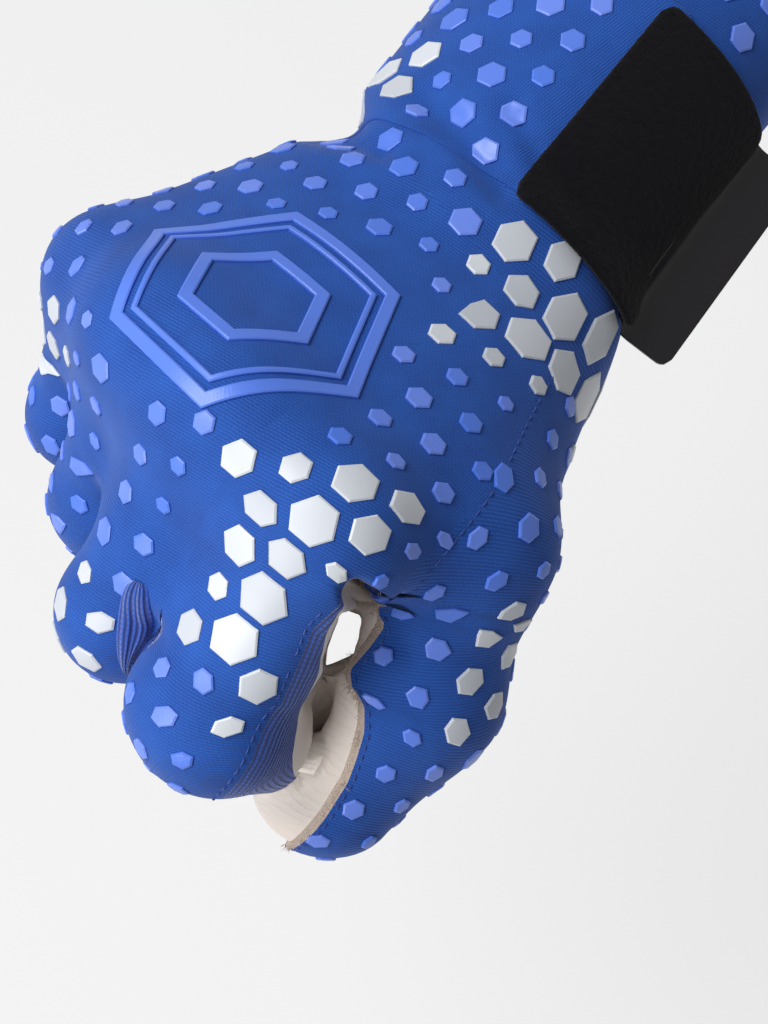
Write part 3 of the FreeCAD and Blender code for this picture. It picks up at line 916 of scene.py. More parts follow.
for name in ORDER:
    d = digits[name]
    cut = halfway(name)
    uv = np.stack((np.repeat(d.along[:, None], sheets[name].shape[1], 1), sheets[name]), -1)
    for far, rows, stretch in ((False, slice(0, cut + 1), "proximal"), (True, slice(cut, None), "distal")):
        label = name + ("_far_" if far else "_near_")
        back = d.panel(label + "back", "back", rows, fabric, uv=uv, on_skin=True)
        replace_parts(finger_blend(back, name, far), "%s_%s_back" % (name, stretch))
        palm = d.panel(label + "palm", "palm", rows, latex)
        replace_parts(finger_blend(palm, name, far), "%s_%s_palm" % (name, stretch))
        for part in ("little_wall", "thumb_wall"):
            wall = d.panel(label + part, part, rows, knit)
            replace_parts(finger_blend(wall, name, far), "%s_%s_gussets" % (name, stretch))
    wall = (PARTING[2][0], -PARTING[2][1]) if name == "index" else None
    ends = Route([BONES[name][2], BONES[name][3]], [], SIDE, end_rows=END_ROWS, walls=(wall, None))
    angles = np.tile(np.linspace(180, -180, END_COLUMNS + 1)[:-1], (len(ends.s), 1))
    cap = ends.points(angles)[len(ends.s) - END_ROWS - 1:]
    uv = np.meshgrid(np.arange(END_ROWS + 1) * 1.8, np.arange(END_COLUMNS) * 1.5, indexing="ij")
    uv = np.stack(uv, -1)
    tip = build(name + "_end", cap, uv, on_skin=True, wrap=True, pole=True, material=latex)
    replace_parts(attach(tip, name + "_distal"), name + "_tip")
    print(name, "cut at row", cut, "of", len(d.along))

# %% [markdown]
# The thumb is the widest tube. It bends at its base and carries the blue fabric right over its end; the
# side that faces the index finger is pale latex, and the latex's thick cut edge shows beside the fabric.

# %% Thumb
THUMB_START = np.array((HAND_START + TUCK, -30.0, -13.0))
THUMB_EDGE = 7.5  # degrees of cut foam between fabric and latex
THUMB_STEP = 1.3  # how much lower than the fabric the latex lies
# past the thumb's root: how many degrees above the index finger's side its fabric ends
THUMB_FABRIC = ((-5, 9, 12, 15, 20, 26, 32, 39, 50, 60), (0, 6, 48, 60, 56, 50, 62, 78, 92, 97))
thumb_route = Route([THUMB_START] + list(THUMB[1:]), (20.0, 20.0), THUMB_WIDE, end_rows=12)
thumb_route.walls = (None, web_wall(thumb_route, THUMB[1], 1, ((7, 17), (30, 48))))
gone = past(thumb_route, THUMB[1])
latex_start = np.interp(gone, *THUMB_FABRIC)
cut_strip = THUMB_EDGE * smooth(gone, 11, 15)
thumb = Digit(thumb_route, (-10.0, latex_start), (24.0, 0.0), strips=(None, cut_strip))
sunk = np.zeros(thumb.grid.shape[1])
sunk[thumb.cols["little_wall"]] = np.linspace(0, 1, WALL_COLUMNS + 1)
sunk[thumb.cols["palm"]] = 1.0
sunk[thumb.cols["thumb_wall"]] = np.linspace(1, 0, WALL_COLUMNS + 1)
thumb.sink(THUMB_STEP * smooth(gone, 5, 12)[:, None] * sunk)
thumb.sink(SUNK * hidden(thumb))
thumb_across = thumb.across((None, None))
thumb_uv = np.stack((np.repeat(thumb.along[:, None], thumb_across.shape[1], 1), thumb_across), -1)
thumb_base = to_hand(joint_place("thumb_base"))


def thumb_blend(piece):
    """Hand the thumb's base to blend_over, which only bakes the piece in place."""
    return blend_over(piece, thumb_base)


THUMB_PARTS = {
    "thumb_outer_back": ("back", fabric, ("thumb_back",)),
    "thumb_cut_edge": ("little_wall", raw_edge, ("thumb_gussets",)),
    "thumb_inner_latex": ("palm", latex, ("thumb_palm", "thumb_tip")),
    "thumb_outer_side": ("thumb_wall", fabric, ("thumb_gussets",)),
}
for label, (part, material, nodes) in THUMB_PARTS.items():
    uv = thumb_uv if part == "back" else None
    piece = thumb.panel(label, part, every, material, uv=uv, on_skin=part == "back", pole=True)
    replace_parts(thumb_blend(piece), *nodes)
print("thumb", thumb.grid.shape)

# %% [markdown]
# The hand's own CAD panels, and the stretch linings under the joints, lie inside this skin. The first
# near panel of the middle finger stands for the hand's shell, and the linings are under the knuckles.

# %% What the skin stands for
hand_nodes = ["hand_back", "hand_palm", "hand_thumb_gusset", "hand_little_gusset", "thumb_root_sleeve",
              "thumb_knuckle_lining"]
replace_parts(bpy.data.objects["middle_near_back"], *hand_nodes)
for name in ORDER:
    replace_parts(bpy.data.objects[name + "_near_back"], name + "_knuckle_lining")
    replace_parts(bpy.data.objects[name + "_far_back"], name + "_joint_lining")
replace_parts(sleeve_back, "wrist_lining")
print("covered:", len(hand_nodes) + 9, "inner nodes")

# %% [markdown]
# Everything printed or sewn on top needs a place on the cloth. A print's outline is written in the
# cloth's own measure, along the finger and across it, and looked up in the panel's grid of points, so a
# hexagon keeps its size and lies down on every curve. The lookup ends with two steps down the formula's
# slope, which put it exactly on the skin.

# %% Laying shapes on the cloth
CLOTHS = {"sleeve": (sleeve.along, sleeve_across, sleeve.grid[:, sleeve.cols["back"]])}
for name in ORDER:
    CLOTHS[name] = (digits[name].along, sheets[name], digits[name].grid[:, digits[name].cols["back"]])
CLOTHS["thumb"] = (thumb.along, thumb_across, thumb.grid[:, thumb.cols["back"]])


def settle(p, lift=0.0):
    """Points moved along the formula's slope until they lie the given lift above the skin."""
    shape = p.shape
    p = p.reshape(-1, 3)
    for _ in range(2):
        p = p - slope(p) * skin(p)[:, None]
    lift = np.broadcast_to(lift, shape[:-1]).reshape(-1, 1)
    return (p + slope(p) * lift).reshape(shape)


def lay(owner, a, b, lift=0.0):
    """The skin's points at measures a (along) and b (across) of one cloth: the four grid points around
    each place, mixed by how near they are, then settled on the skin."""
    along, across, grid = CLOTHS[owner]
    shape, a, b = a.shape, a.ravel(), b.ravel()
    i = np.clip(np.searchsorted(along, a) - 1, 0, len(along) - 2)
    f = np.clip((a - along[i]) / (along[i + 1] - along[i]), -3, 4)[:, None]
    line = across[i] * (1 - f) + across[i + 1] * f
    j = np.clip((line < b[:, None]).sum(axis=1) - 1, 0, line.shape[1] - 2)
    k = np.arange(len(a))
    g = np.clip((b - line[k, j]) / (line[k, j + 1] - line[k, j]), -3, 4)[:, None]
    near = grid[i, j] * (1 - g) + grid[i, j + 1] * g
    far = grid[i + 1, j] * (1 - g) + grid[i + 1, j + 1] * g
    return settle((near * (1 - f) + far * f).reshape(*shape, 3), lift)


print("cloths:", {n: (round(float(c[0][0])), round(float(c[0][-1]))) for n, c in CLOTHS.items()})

# %% [markdown]
# Between index and middle finger the knit wall is wider than the gap, so a loop of it stands out of the
# valley. It is a small pillow: half an ellipse across, with a groove along its middle, wide at the top
# and narrow at the bottom.

# %% Knit fold between index and middle finger
FOLD_PATH = np.array((
    (-100.2, -21.6, -23.6), (-100.5, -23.7, -33.1), (-101.5, -25.2, -40.5), (-102.4, -26.9, -46.5)))
FOLD_WIDE, FOLD_HIGH = 3.9, 2.2  # half width and height
share = np.linspace(0.01, 0.99, 26)
side = np.sin(np.radians(np.linspace(-90, 90, 17)))
places = np.linspace(0, 1, len(FOLD_PATH))
middle = np.stack([np.interp(share, places, FOLD_PATH[:, k]) for k in range(3)], -1)
swell = np.sin(np.pi * share ** 0.7) ** 0.5
up = slope(middle)
across = unit(np.cross(np.gradient(middle, axis=0), up))
spans = across * (FOLD_WIDE * swell * (1 - 0.3 * share))[:, None]
foot = middle[:, None] + spans[:, None] * side[None, :, None]
groove = 1 - 0.3 * np.exp(-((side / 0.25) ** 2))
height = FOLD_HIGH * swell[:, None] * (np.sqrt(1 - side ** 2) * groove)[None] - 0.3
points = settle(foot, height)
uv = np.stack(np.broadcast_arrays(share[:, None] * 23.0, side[None] * 4.0), -1)
fold_piece = build("index_middle_knit_fold", points, uv, material=knit)
finger_blend(fold_piece, "middle", True)
print("fold", points.shape)

# %% [markdown]
# The grip print is a honeycomb of raised silicone hexagons. They stand on a lattice 10.4 mm along and
# 9 mm across; where a white group sits they nearly touch, and away from it they shrink to blue dots. A
# chart names every print of the two large white groups, on the wrist and the knuckle. The small groups
# are rods in the hand's frame: prints grow and turn white towards a rod's middle.

# %% Plan of the honeycomb
PITCH, COLUMN = 10.4, 9.0
FIRST_ALONG, FIRST_ACROSS = -1.8, -46.5
SMALLEST = 2.35
WHITE_CELLS = {
    # column of the lattice: runs of (first row, radii); two white groups, on the wrist and the knuckle
    3: ((-1, (4.5, 2.6)),),
    2: ((-1, (4.0, 4.1, 4.2, 2.8)), (7, (3.6, 2.6, 2.5))),
    1: ((-2, (3.4, 4.8, 5.3, 2.4)), (6, (3.0, 4.1, 4.1, 2.8, 3.6))),
    0: ((-1, (4.5, 4.9, 2.3)), (6, (4.3, 4.9, 4.3, 5.3, 5.1))),
    -1: ((-2, (3.2, 4.5, 2.4)), (5, (4.1, 4.1, 2.6, 3.9, 4.8, 3.9, 2.7))),
    -2: ((-1, (4.0, 2.3)), (9, (2.2, 2.6, 2.4))),
    -3: ((-2, (2.6, 3.0)),),
}
SPOTS = [
    # from, to and radius, in the hand's frame, of the smaller groups, and their biggest print
    ((-52.0, -75.0, -17.0), (-61.0, -79.0, -34.0), 9.5, 3.1),
    ((4.0, 26.0, 24.0), (-3.0, 33.0, 14.0), 8.0, 4.4),
    ((-78.0, 32.0, -14.0), (-75.0, 38.0, -27.0), 10.0, 3.2),
    ((-106.0, -14.0, -40.0), (-107.0, -14.0, -46.0), 10.0, 3.1),
]
CHART = np.zeros((40, 60))  # radius of every white cell, by column and row, each counted from -20
for column, runs in WHITE_CELLS.items():
    for first, radii in runs:
        CHART[column + 20, first + 20:first + 20 + len(radii)] = radii


def whiteness(p):
    """How white each place is: 1 in the middle of its nearest group, 0 on that group's edge, negative
    outside; and the biggest print of that group."""
    table = np.array([-rod(p, np.array(a), np.array(b), r, r) / r for a, b, r, _ in SPOTS])
    nearest = table.argmax(axis=0)
    return table.max(axis=0), np.array([spot[3] for spot in SPOTS])[nearest]


def charted(a, b):
    """The chart's radius at lattice places; 0 where the chart has no white print."""
    column = np.rint((b - FIRST_ACROSS) / COLUMN).astype(int)
    row = np.rint((a - FIRST_ALONG) / PITCH - 0.5 * (column % 2)).astype(int)
    return CHART[np.clip(column + 20, 0, 39), np.clip(row + 20, 0, 59)]


def lattice(low, high, left, right):
    """Lattice places between two measures along and two across; odd columns are set half a step on."""
    column = np.arange(np.ceil((left - FIRST_ACROSS) / COLUMN), np.floor((right - FIRST_ACROSS) / COLUMN) + 1)
    row = np.arange(np.ceil((low - FIRST_ALONG) / PITCH) - 1, np.floor((high - FIRST_ALONG) / PITCH) + 2)
    row, column = np.meshgrid(row, column, indexing="ij")
    a = FIRST_ALONG + PITCH * (row + 0.5 * (column % 2))
    b = FIRST_ACROSS + COLUMN * column
    inside = (a > low) & (a < high)
    return a[inside], b[inside]


print("lattice places on a square of 100 mm:", len(lattice(0, 100, 0, 100)[0]))

# %% Hexagon mesh
RISE, BEVEL, FOOT = 0.5, 0.4, -0.35


def hexagons(name, owner, a, b, radius, material, base=0.0, seed=1):
    """Six-sided prints as one mesh: corners every 60 degrees at each radius, in three rings (foot,
    shoulder and top) and a middle point, all laid on the cloth. The tops take the skin's own normals, so
    they bend with it; the sloping sides stay crisp."""
    turn = np.radians(30 - 60 * np.arange(6))
    corner_a, corner_b = np.cos(turn), np.sin(turn)
    rings = ((0.0, FOOT), (0.0, RISE - 0.2), (-BEVEL, RISE))
    size = np.concatenate([np.repeat((radius + inset)[:, None], 6, 1) for inset, _ in rings], axis=1)
    pa = np.concatenate((a[:, None] + size * np.tile(corner_a, 3), a[:, None]), axis=1)
    pb = np.concatenate((b[:, None] + size * np.tile(corner_b, 3), b[:, None]), axis=1)
    lift = np.array([h for _, h in rings for _ in range(6)] + [RISE]) + base
    points = lay(owner, pa, pb, lift)
    faces = []
    for k in range(len(a)):
        o = 19 * k
        for ring in (0, 6):
            faces += [(o + ring + i, o + ring + (i + 1) % 6, o + ring + 6 + (i + 1) % 6, o + ring + 6 + i)
                      for i in range(6)]
        faces += [(o + 12 + i, o + 12 + (i + 1) % 6, o + 18) for i in range(6)]
    tone = np.repeat(np.random.default_rng(seed).random(len(a)), 19)
    points = points.reshape(-1, 3)
    piece = build(name, points, material=material, faces=faces, tone=tone)
    mesh = piece.data
    facing = np.empty(3 * len(faces))
    mesh.polygons.foreach_get("normal", facing)
    corner = np.repeat(facing.reshape(-1, 3), np.tile((4,) * 12 + (3,) * 6, len(a)), axis=0)
    vertex = np.empty(len(mesh.loops), int)
    mesh.loops.foreach_get("vertex_index", vertex)
    top = np.tile(np.repeat((False, True), (48, 18)), len(a))
    corner[top] = (slope(points) @ HAND)[vertex[top]]
    mesh.normals_split_custom_set(corner.tolist())
    return piece


taken = []  # middle and radius of every hexagon so far, so that two cloths never print over each other


def free_places(owner, a, b, radius):
    """Keep the hexagons whose middles lie clear of those that another cloth has already printed."""
    middle = lay(owner, a, b)
    keep = np.ones(len(a), bool)
    for other, centre, size in taken:
        if other != owner:
            gap = np.linalg.norm(middle[:, None] - centre[None], axis=2) - radius[:, None] - size[None]
            keep &= (gap > -0.7).all(axis=1)
    taken.append((owner, middle[keep], radius[keep]))
    return keep


print("faces in one hexagon:", 18)

# %% [markdown]
# Each cloth gets its hexagons, white and blue apart. A hexagon is left out where it would hang over a
# cut edge, where the knuckles' seam opens, and where the ring emblem stands. Each group of prints goes
# to the same joiner as the panel under it.

# %% Printing the back of the hand and the fingers
EMBLEM = (48.0, -3.0)  # along and across of the emblem's middle
EMBLEM_SIZE = 29.0
OPEN_SEAM = 88.0  # past this measure the seams between the fingers open


def print_cloth(owner, low, high, joiner, label, bigger=0.0, seed=1, base=0.0, edge=(0.35, 0.35), hold=None):
    """Lay the lattice on one cloth between two measures along it, and hand each mesh to its joiner. The
    edges say how many radii a hexagon's middle keeps from the cloth's two sides."""
    along, across, _ = CLOTHS[owner]
    a, b = lattice(low, high, across.min(), across.max())
    white, biggest = whiteness(lay(owner, a, b))
    radius = SMALLEST + bigger + (biggest - SMALLEST - bigger) * np.clip(1.7 * white + 0.12, 0, 1) ** 0.8
    radius *= 1 + 0.14 * np.random.default_rng(seed).standard_normal(len(a)).clip(-1.6, 2.0) * (white < 0.4)
    known = charted(a, b) if owner != "thumb" else 0 * a
    white, radius = np.where(known > 0, 1.0, white), np.where(known > 0, known, radius)
    left = np.interp(a, along, across[:, 0])
    right = np.interp(a, along, across[:, -1])
    keep = (b - left > radius * edge[0]) & (right - b > radius * edge[1])
    if hold is not None:
        keep &= hold(a, b, radius)
    a, b, white, radius = a[keep], b[keep], white[keep], radius[keep]
    keep = free_places(owner, a, b, radius)
    a, b, white, radius = a[keep], b[keep], white[keep], radius[keep]
    for kind, pick, material in (("white", white > 0, print_white), ("blue", white <= 0, print_blue)):
        if pick.any():
            joiner(hexagons("%s_prints_%s" % (label, kind), owner, a[pick], b[pick], radius[pick],
                            material, base, seed))
    return len(a)


def clear_of_seams(owner):
    """Past the knuckles a hexagon stays on its own finger; nothing is printed under the emblem."""
    i = ORDER.index(owner)

    def hold(a, b, radius):
        keep = np.ones(len(a), bool)
        for seam in SEAMS[max(i - 1, 0):i + 1]:
            keep &= (np.abs(b - seam) > radius * smooth(a, OPEN_SEAM - 14, OPEN_SEAM))
        low = SEAMS[i - 1] if i else -999.0
        high = SEAMS[i] if i < 3 else 999.0
        keep &= (b > low) & (b <= high)
        return keep & (np.hypot(a - EMBLEM[0], b - EMBLEM[1]) > EMBLEM_SIZE + 1.5)

    return hold


RUNS_ON = -9.0  # a side where the next finger's cloth carries on
EDGES = {"index": (0.9, RUNS_ON), "little": (RUNS_ON, 0.35)}
total = 0
for number, name in enumerate(ORDER):
    cut = float(digits[name].along[halfway(name)])
    last = float(digits[name].along[-1]) - 16.0
    for far, low, high in ((False, 0.5, cut), (True, cut, last)):
        total += print_cloth(
            name, low, high, lambda piece: finger_blend(piece, name, far),
            name + ("_far" if far else "_near"), seed=10 * number + far,
            hold=clear_of_seams(name), edge=EDGES.get(name, (RUNS_ON, RUNS_ON)))
print("hexagons on hand and fingers:", total)

# %% Printing the sleeve and the thumb
BAND_NEAR, BAND_FAR, BAND_STOP = -87.0, -32.0, 130.0
BAND_RISE = 0.5
WRAPPED = (110.0, 196.0)  # angles round the arm that the closed flap covers


def arm_place(a, b):
    """Place along the arm and angle round it of measures on the sleeve."""
    p = to_row(lay("sleeve", a, b))
    middle = WRIST * (p[:, :1] / WRIST[0])
    return p[:, 0], np.degrees(np.arctan2(p[:, 2] - middle[:, 2], p[:, 1] - middle[:, 1])) % 360


def on_band(a, b, radius):
    """Hexagons that lie wholly on the strap's band, outside the flap."""
    x, turn = arm_place(a, b)
    return (x > BAND_NEAR + radius) & (x < BAND_FAR - radius) & (turn < WRAPPED[0] + 4)


def off_band(a, b, radius):
    """Hexagons that lie clear of the band, of the flap and of the mouth's tape."""
    x, turn = arm_place(a, b)
    covered = (x > BAND_NEAR - 5) & (x < BAND_FAR + 4) & (turn > WRAPPED[0]) & (turn < WRAPPED[1])
    return ((x < BAND_NEAR - radius) | (x > BAND_FAR + radius)) & ~covered & (x < -10 - radius)


def ride_cuff(piece):
    """Let a piece ride on the cuff's body."""
    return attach(piece, "cuff")


first, last = float(sleeve.along[0]) + 4.0, 0.5
thumb_last = float(thumb.along[-1]) - 6.0
half_on = (0.5, 0.5)
total = print_cloth("thumb", 4.0, thumb_last, thumb_blend, "thumb", seed=71, edge=(0.8, 0.8))
total += print_cloth("sleeve", first, last, wrist_blend, "sleeve", 0.5, 81, edge=half_on, hold=off_band)
total += print_cloth("sleeve", first, last, ride_cuff, "band", 0.5, 82, BAND_RISE, half_on, on_band)
print("hexagons on sleeve and thumb:", total)

# %% [markdown]
# The middle of the hand's back carries a plain nest of three hexagon outlines:
# raised silicone lines on a sheet of rays that runs over all four fingers at once, so that the lines run
# on across the seams. Each line is cut at the seams into one part for each finger.

# %% Emblem rings
SHEET_STEP = 1.0
sheet_route, sheet_way = rounded([(HAND_START, 0, -3.0), (-71.0, 0, -3.0), (-88.0, 0, -40.0)], [22.0])
sheet_out = np.cross(SIDE, sheet_way)
sheet_side = np.arange(-36.0, 33.0, SHEET_STEP)
start = sheet_route[:, None] + sheet_side[None, :, None] * SIDE
ways = np.broadcast_to(sheet_out[:, None], start.shape)
hit = reach(start.reshape(-1, 3), ways.reshape(-1, 3), 60.0).reshape(start.shape[:2])
sheet_grid = start + hit[..., None] * ways
gaps = np.linalg.norm(np.diff(sheet_grid[:, len(sheet_side) // 2], axis=0), axis=1)
sheet_along = np.concatenate(((0,), np.cumsum(gaps)))
CLOTHS["hand"] = (sheet_along, np.repeat(sheet_side[None], len(sheet_along), 0), sheet_grid)
RINGS = ((29.0, 2.7), (24.2, 1.2), (15.0, 2.7))  # corner radius and width of each line
OUTLINE_STEPS = 40


def hexagon_line(radius, steps):
    """Points along a hexagon's outline, the same number on each of its six sides."""
    turn = np.radians(60 * np.arange(7))
    corner = radius * np.stack((np.sin(turn), np.cos(turn)), -1)
    share = np.arange(steps)[None, :, None] / steps
    return (corner[:-1, None] * (1 - share) + corner[1:, None] * share).reshape(-1, 2)


for number, (radius, width) in enumerate(RINGS):
    profile = ((0.0, FOOT), (0.0, 0.45), (0.3, 0.65), (width - 0.3, 0.65), (width, 0.45), (width, FOOT))
    corners = [radius - inset / np.cos(np.pi / 6) for inset, _ in profile]
    lines = np.stack([hexagon_line(corner, OUTLINE_STEPS) for corner in corners])
    lift = np.array([h for _, h in profile])[:, None]
    ring = lay("hand", lines[..., 0] + EMBLEM[0], lines[..., 1] + EMBLEM[1], lift)
    index = np.arange(ring.shape[0] * ring.shape[1]).reshape(ring.shape[:2])
    flat = ring.reshape(-1, 3)
    owner = np.searchsorted(SEAMS, flat[index[2], 1])
    faces = grid_faces(index, True, False)
    for i, name in enumerate(ORDER):
        mine = [f[::-1] for k, f in enumerate(faces) if owner[k % ring.shape[1]] == i]
        if mine:
            used, packed = np.unique(np.array(mine), return_inverse=True)
            own = [tuple(f) for f in packed.reshape(-1, 4).tolist()]
            piece = build("emblem_%d_%s" % (number, name), flat[used], material=print_blue,
                          faces=own, flat=True, tone=np.full(len(used), 0.25))
            finger_blend(piece, name, False)
print("emblem lines:", len(RINGS))

# %% [markdown]
# The wrist strap is laid round the cuff in slabs. A slab is a rounded rectangle carried round the arm:
# at every angle its corners stand a given lift above the skin, so it follows the padded cuff.

# %% Slabs round the cuff
def cuff_at(x, turn, lift):
    """Points of the cuff: from the arm's line at x a ray goes out at an angle (from the little finger's
    side towards the back), meets the skin, and goes on by the lift."""
    x, turn, lift = np.broadcast_arrays(x, turn, lift)
    a = np.radians(turn.ravel())[:, None]
    centre = to_hand(WRIST * (x.ravel()[:, None] / WRIST[0]))
    way = (np.cos(a) * np.array((0, 1.0, 0)) + np.sin(a) * np.array((0, 0, 1.0))) @ HAND.T
    t = reach(centre, way, 80.0) + lift.ravel()
    return (centre + t[:, None] * way).reshape(*x.shape, 3)


def bar(width, height, corner, across=28):
    """A rounded rectangle as a closed row of points (along, up), from the lower left corner round."""
    half = width / 2 - corner
    quarter = np.radians(np.linspace(0, 90, 4))
    row = np.linspace(-half, half, across)
    right_top = np.stack((half + corner * np.sin(quarter), height - corner * (1 - np.cos(quarter))), -1)
    top = np.stack((row, np.full(across, height)), -1)
    upper = np.concatenate((top[:-1], right_top))
    right_low = np.stack((right_top[::-1, 0], height - right_top[::-1, 1]), -1)
    low = np.stack((row[::-1], np.zeros(across)), -1)
    lower = np.concatenate((right_low, low[1:-1]))
    left = np.stack((-right_low[:, 0], right_low[:, 1]), -1)[::-1]
    left_top = np.stack((-right_top[:, 0], right_top[:, 1]), -1)[::-1]
    return np.concatenate((upper, lower, left[:-1], left_top[:-1]))


def slab(name, material, turns, x_middle, width, low, high, round_end=3.0, corner=0.7, lean=0.0):
    """A strap piece: the rounded rectangle at every angle; near both ends it narrows as a circle does,
    which rounds the strap's corners. lean moves it along the arm as it goes round."""
    turns = np.asarray(turns, float)
    reach_mm = np.radians(turns - turns[0]) * 33.0
    left = np.minimum(reach_mm, reach_mm[-1] - reach_mm)
    inset = round_end - np.sqrt(np.maximum(round_end**2 - np.maximum(round_end - left, 0) ** 2, 0))
    shape = bar(width, high - low, min(corner, (high - low) / 2.02))
    narrow = (width - 2 * inset) / width
    x = (x_middle + lean * (turns - turns[0]))[:, None] + shape[None, :, 0] * narrow[:, None]
    points = cuff_at(x, turns[:, None], low + shape[None, :, 1])
    uv = np.stack(np.broadcast_arrays(reach_mm[:, None], shape[None, :, 0] + shape[None, :, 1]), -1)
    return build(name, points[:, ::-1], uv[:, ::-1], material=material, wrap=True, cap=True)


STRAP_MIDDLE, STRAP_WIDTH = -61.5, 55.0
BAND_START = -165.0
PATCH_FROM, PATCH_TO = 133.0, 190.0
FLAP_FROM, FLAP_TO = 116.0, 176.0
FLAP_LOW, FLAP_HIGH = 1.6, 3.6  # the flap's two faces above the skin
FLAP_LEAN = -0.05  # millimetres along the arm for each degree round it
BELOW = -0.3  # the band and the patch start this far under the skin
TURN_STEP = 2.0
band_turns = np.arange(BAND_START, BAND_STOP + 0.1, TURN_STEP)
band_middle, band_width = (BAND_NEAR + BAND_FAR) / 2, BAND_FAR - BAND_NEAR
band = slab("strap_band_cloth", fabric, band_turns, band_middle, band_width, BELOW, BAND_RISE)
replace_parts(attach(band, "cuff"), "strap_band")
patch_turns = np.arange(PATCH_FROM, PATCH_TO + 0.1, TURN_STEP)
patch = slab("landing_patch", pile, patch_turns, STRAP_MIDDLE, STRAP_WIDTH - 6, BELOW, 0.8)
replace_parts(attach(patch, "cuff"), "strap_landing_patch")
flap_turns = np.arange(FLAP_FROM, FLAP_TO + 0.1, TURN_STEP)
flap = slab("strap_flap", pile, flap_turns, STRAP_MIDDLE, STRAP_WIDTH, FLAP_LOW, FLAP_HIGH,
            corner=0.9, lean=FLAP_LEAN)
pad_turns = np.arange(FLAP_TO - 27, FLAP_TO - 2, TURN_STEP)
pad = slab("hook_pad", hooks, pad_turns, STRAP_MIDDLE - 2.8, STRAP_WIDTH - 7, 0.9, 1.7)
flap_start, flap_end = (
    metres(cuff_at(STRAP_MIDDLE, turn, 0.0)) for turn in (FLAP_FROM - 2.0, FLAP_FROM + 13.0)
)


def flap_blend(piece):
    """Bake the piece's transform into its mesh; it is not blended from the cuff to the flap's body."""
    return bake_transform(piece)


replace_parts(flap_blend(flap), "strap_loop_flap")
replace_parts(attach(pad, "strap_flap"), "strap_hook_pad")
print("strap pieces: band, patch, flap, pad")

# %% [markdown]
# The pull tab is a smooth moulded strip sewn under the flap's end. It leaves along the flap and bends
# outwards, ready for a finger: its line turns by an arc and then runs straight.

# %% Pull tab
TAB_TURN, TAB_ARC, TAB_LENGTH, TAB_THICK = 66.0, 6.5, 15.5, 1.2
TAB_ROUND = 2.5  # radius of its free corners
s = np.linspace(-3.0, TAB_LENGTH, 27)
angle = np.radians(TAB_TURN) * np.clip(s / TAB_ARC, 0, 1)
step = np.gradient(s)
phi = np.radians(FLAP_TO)
tangent = np.array((0, -np.sin(phi), np.cos(phi)))
outward = np.array((0, np.cos(phi), np.sin(phi)))
way = np.cos(angle)[:, None] * tangent + np.sin(angle)[:, None] * outward
face = np.cos(angle)[:, None] * outward - np.sin(angle)[:, None] * tangent
line = np.cumsum(way * step[:, None], axis=0)
line -= line[np.argmin(np.abs(s))]
shape = bar(STRAP_WIDTH - 1.5, TAB_THICK, 0.35)
inset = TAB_ROUND - np.sqrt(np.maximum(TAB_ROUND**2 - np.maximum(TAB_ROUND - (TAB_LENGTH - s), 0) ** 2, 0))
narrow = 1 - 2 * inset / STRAP_WIDTH
root = to_row(cuff_at(STRAP_MIDDLE + FLAP_LEAN * (FLAP_TO - FLAP_FROM), FLAP_TO, 2.0))
tab_points = (root + line[:, None] + face[:, None] * shape[None, :, 1, None]
              + np.array((1.0, 0, 0)) * (shape[None, :, 0] * narrow[:, None])[..., None])
uv = np.stack(np.broadcast_arrays(s[:, None], shape[None, :, 0]), -1)
tab = build("pull_tab", to_hand(tab_points)[:, ::-1], uv[:, ::-1], material=gloss, wrap=True, cap=True)
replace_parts(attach(tab, "strap_flap"), "strap_pull_tab")
print("tab", tab_points.shape)

# %% [markdown]
# The cuff's mouth is bound with a folded tape, and a smooth lining closes the view inside: a tube a
# little within the skin that ends in a dome.

# %% Binding and lining
ROUND_TURNS = np.arange(0, 360, 3.0)
fold = np.radians(np.linspace(-90, 90, 7))
outer = np.stack((np.linspace(-9.0, -1.0, 6), np.full(6, 0.7)), -1)
turned_over = np.stack((-1.0 + 1.6 * np.cos(fold), -0.9 - 1.6 * np.sin(fold)), -1)
inner = np.stack((np.linspace(-1.0, -9.0, 6), np.full(6, -2.5)), -1)
profile = np.concatenate((((-9.4, 0.0),), outer, turned_over[1:-1], inner, ((-9.4, -1.5),)))
points = cuff_at(profile[:, :1], ROUND_TURNS[None], profile[:, 1:])
measure = np.concatenate(((0,), np.cumsum(np.linalg.norm(np.diff(profile, axis=0), axis=1))))
uv = np.stack(np.broadcast_arrays(measure[:, None], np.radians(ROUND_TURNS)[None] * 36.0), -1)
binding = build("cuff_binding_tape", points, uv, material=tape, wrap=True, loop=True)
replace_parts(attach(binding, "cuff"), "cuff_binding")

LINING_ROUND = 34.0  # about the lining's radius
dome = np.radians(np.linspace(15, 88, 7))
depth = np.concatenate((np.linspace(-7.0, -50.0, 16), -50.0 - 9.0 * np.sin(dome)))
shrink = np.concatenate((np.full(16, 0.0), LINING_ROUND * (1 - np.cos(dome))))
tube = cuff_at(depth[:, None], ROUND_TURNS[None], -2.6)
middle = tube.mean(axis=1, keepdims=True)
points = middle + (tube - middle) * (1 - shrink / LINING_ROUND)[:, None, None]
uv = np.stack(np.broadcast_arrays(-depth[:, None], np.radians(ROUND_TURNS)[None] * LINING_ROUND), -1)
inside = build("cuff_lining", points, uv, material=lining, wrap=True, pole=True, flip=True)
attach(inside, "cuff")
print("binding", profile.shape, "lining", points.shape)

# %% [markdown]
# Stitches are short threads: a six-sided tube that dips into the cloth at both ends. They run beside the
# fabric's edge on the index finger and the thumb, along the flap and round the mouth's tape. Where the
# thumb's foam is cut, fine fibres stand out of it.

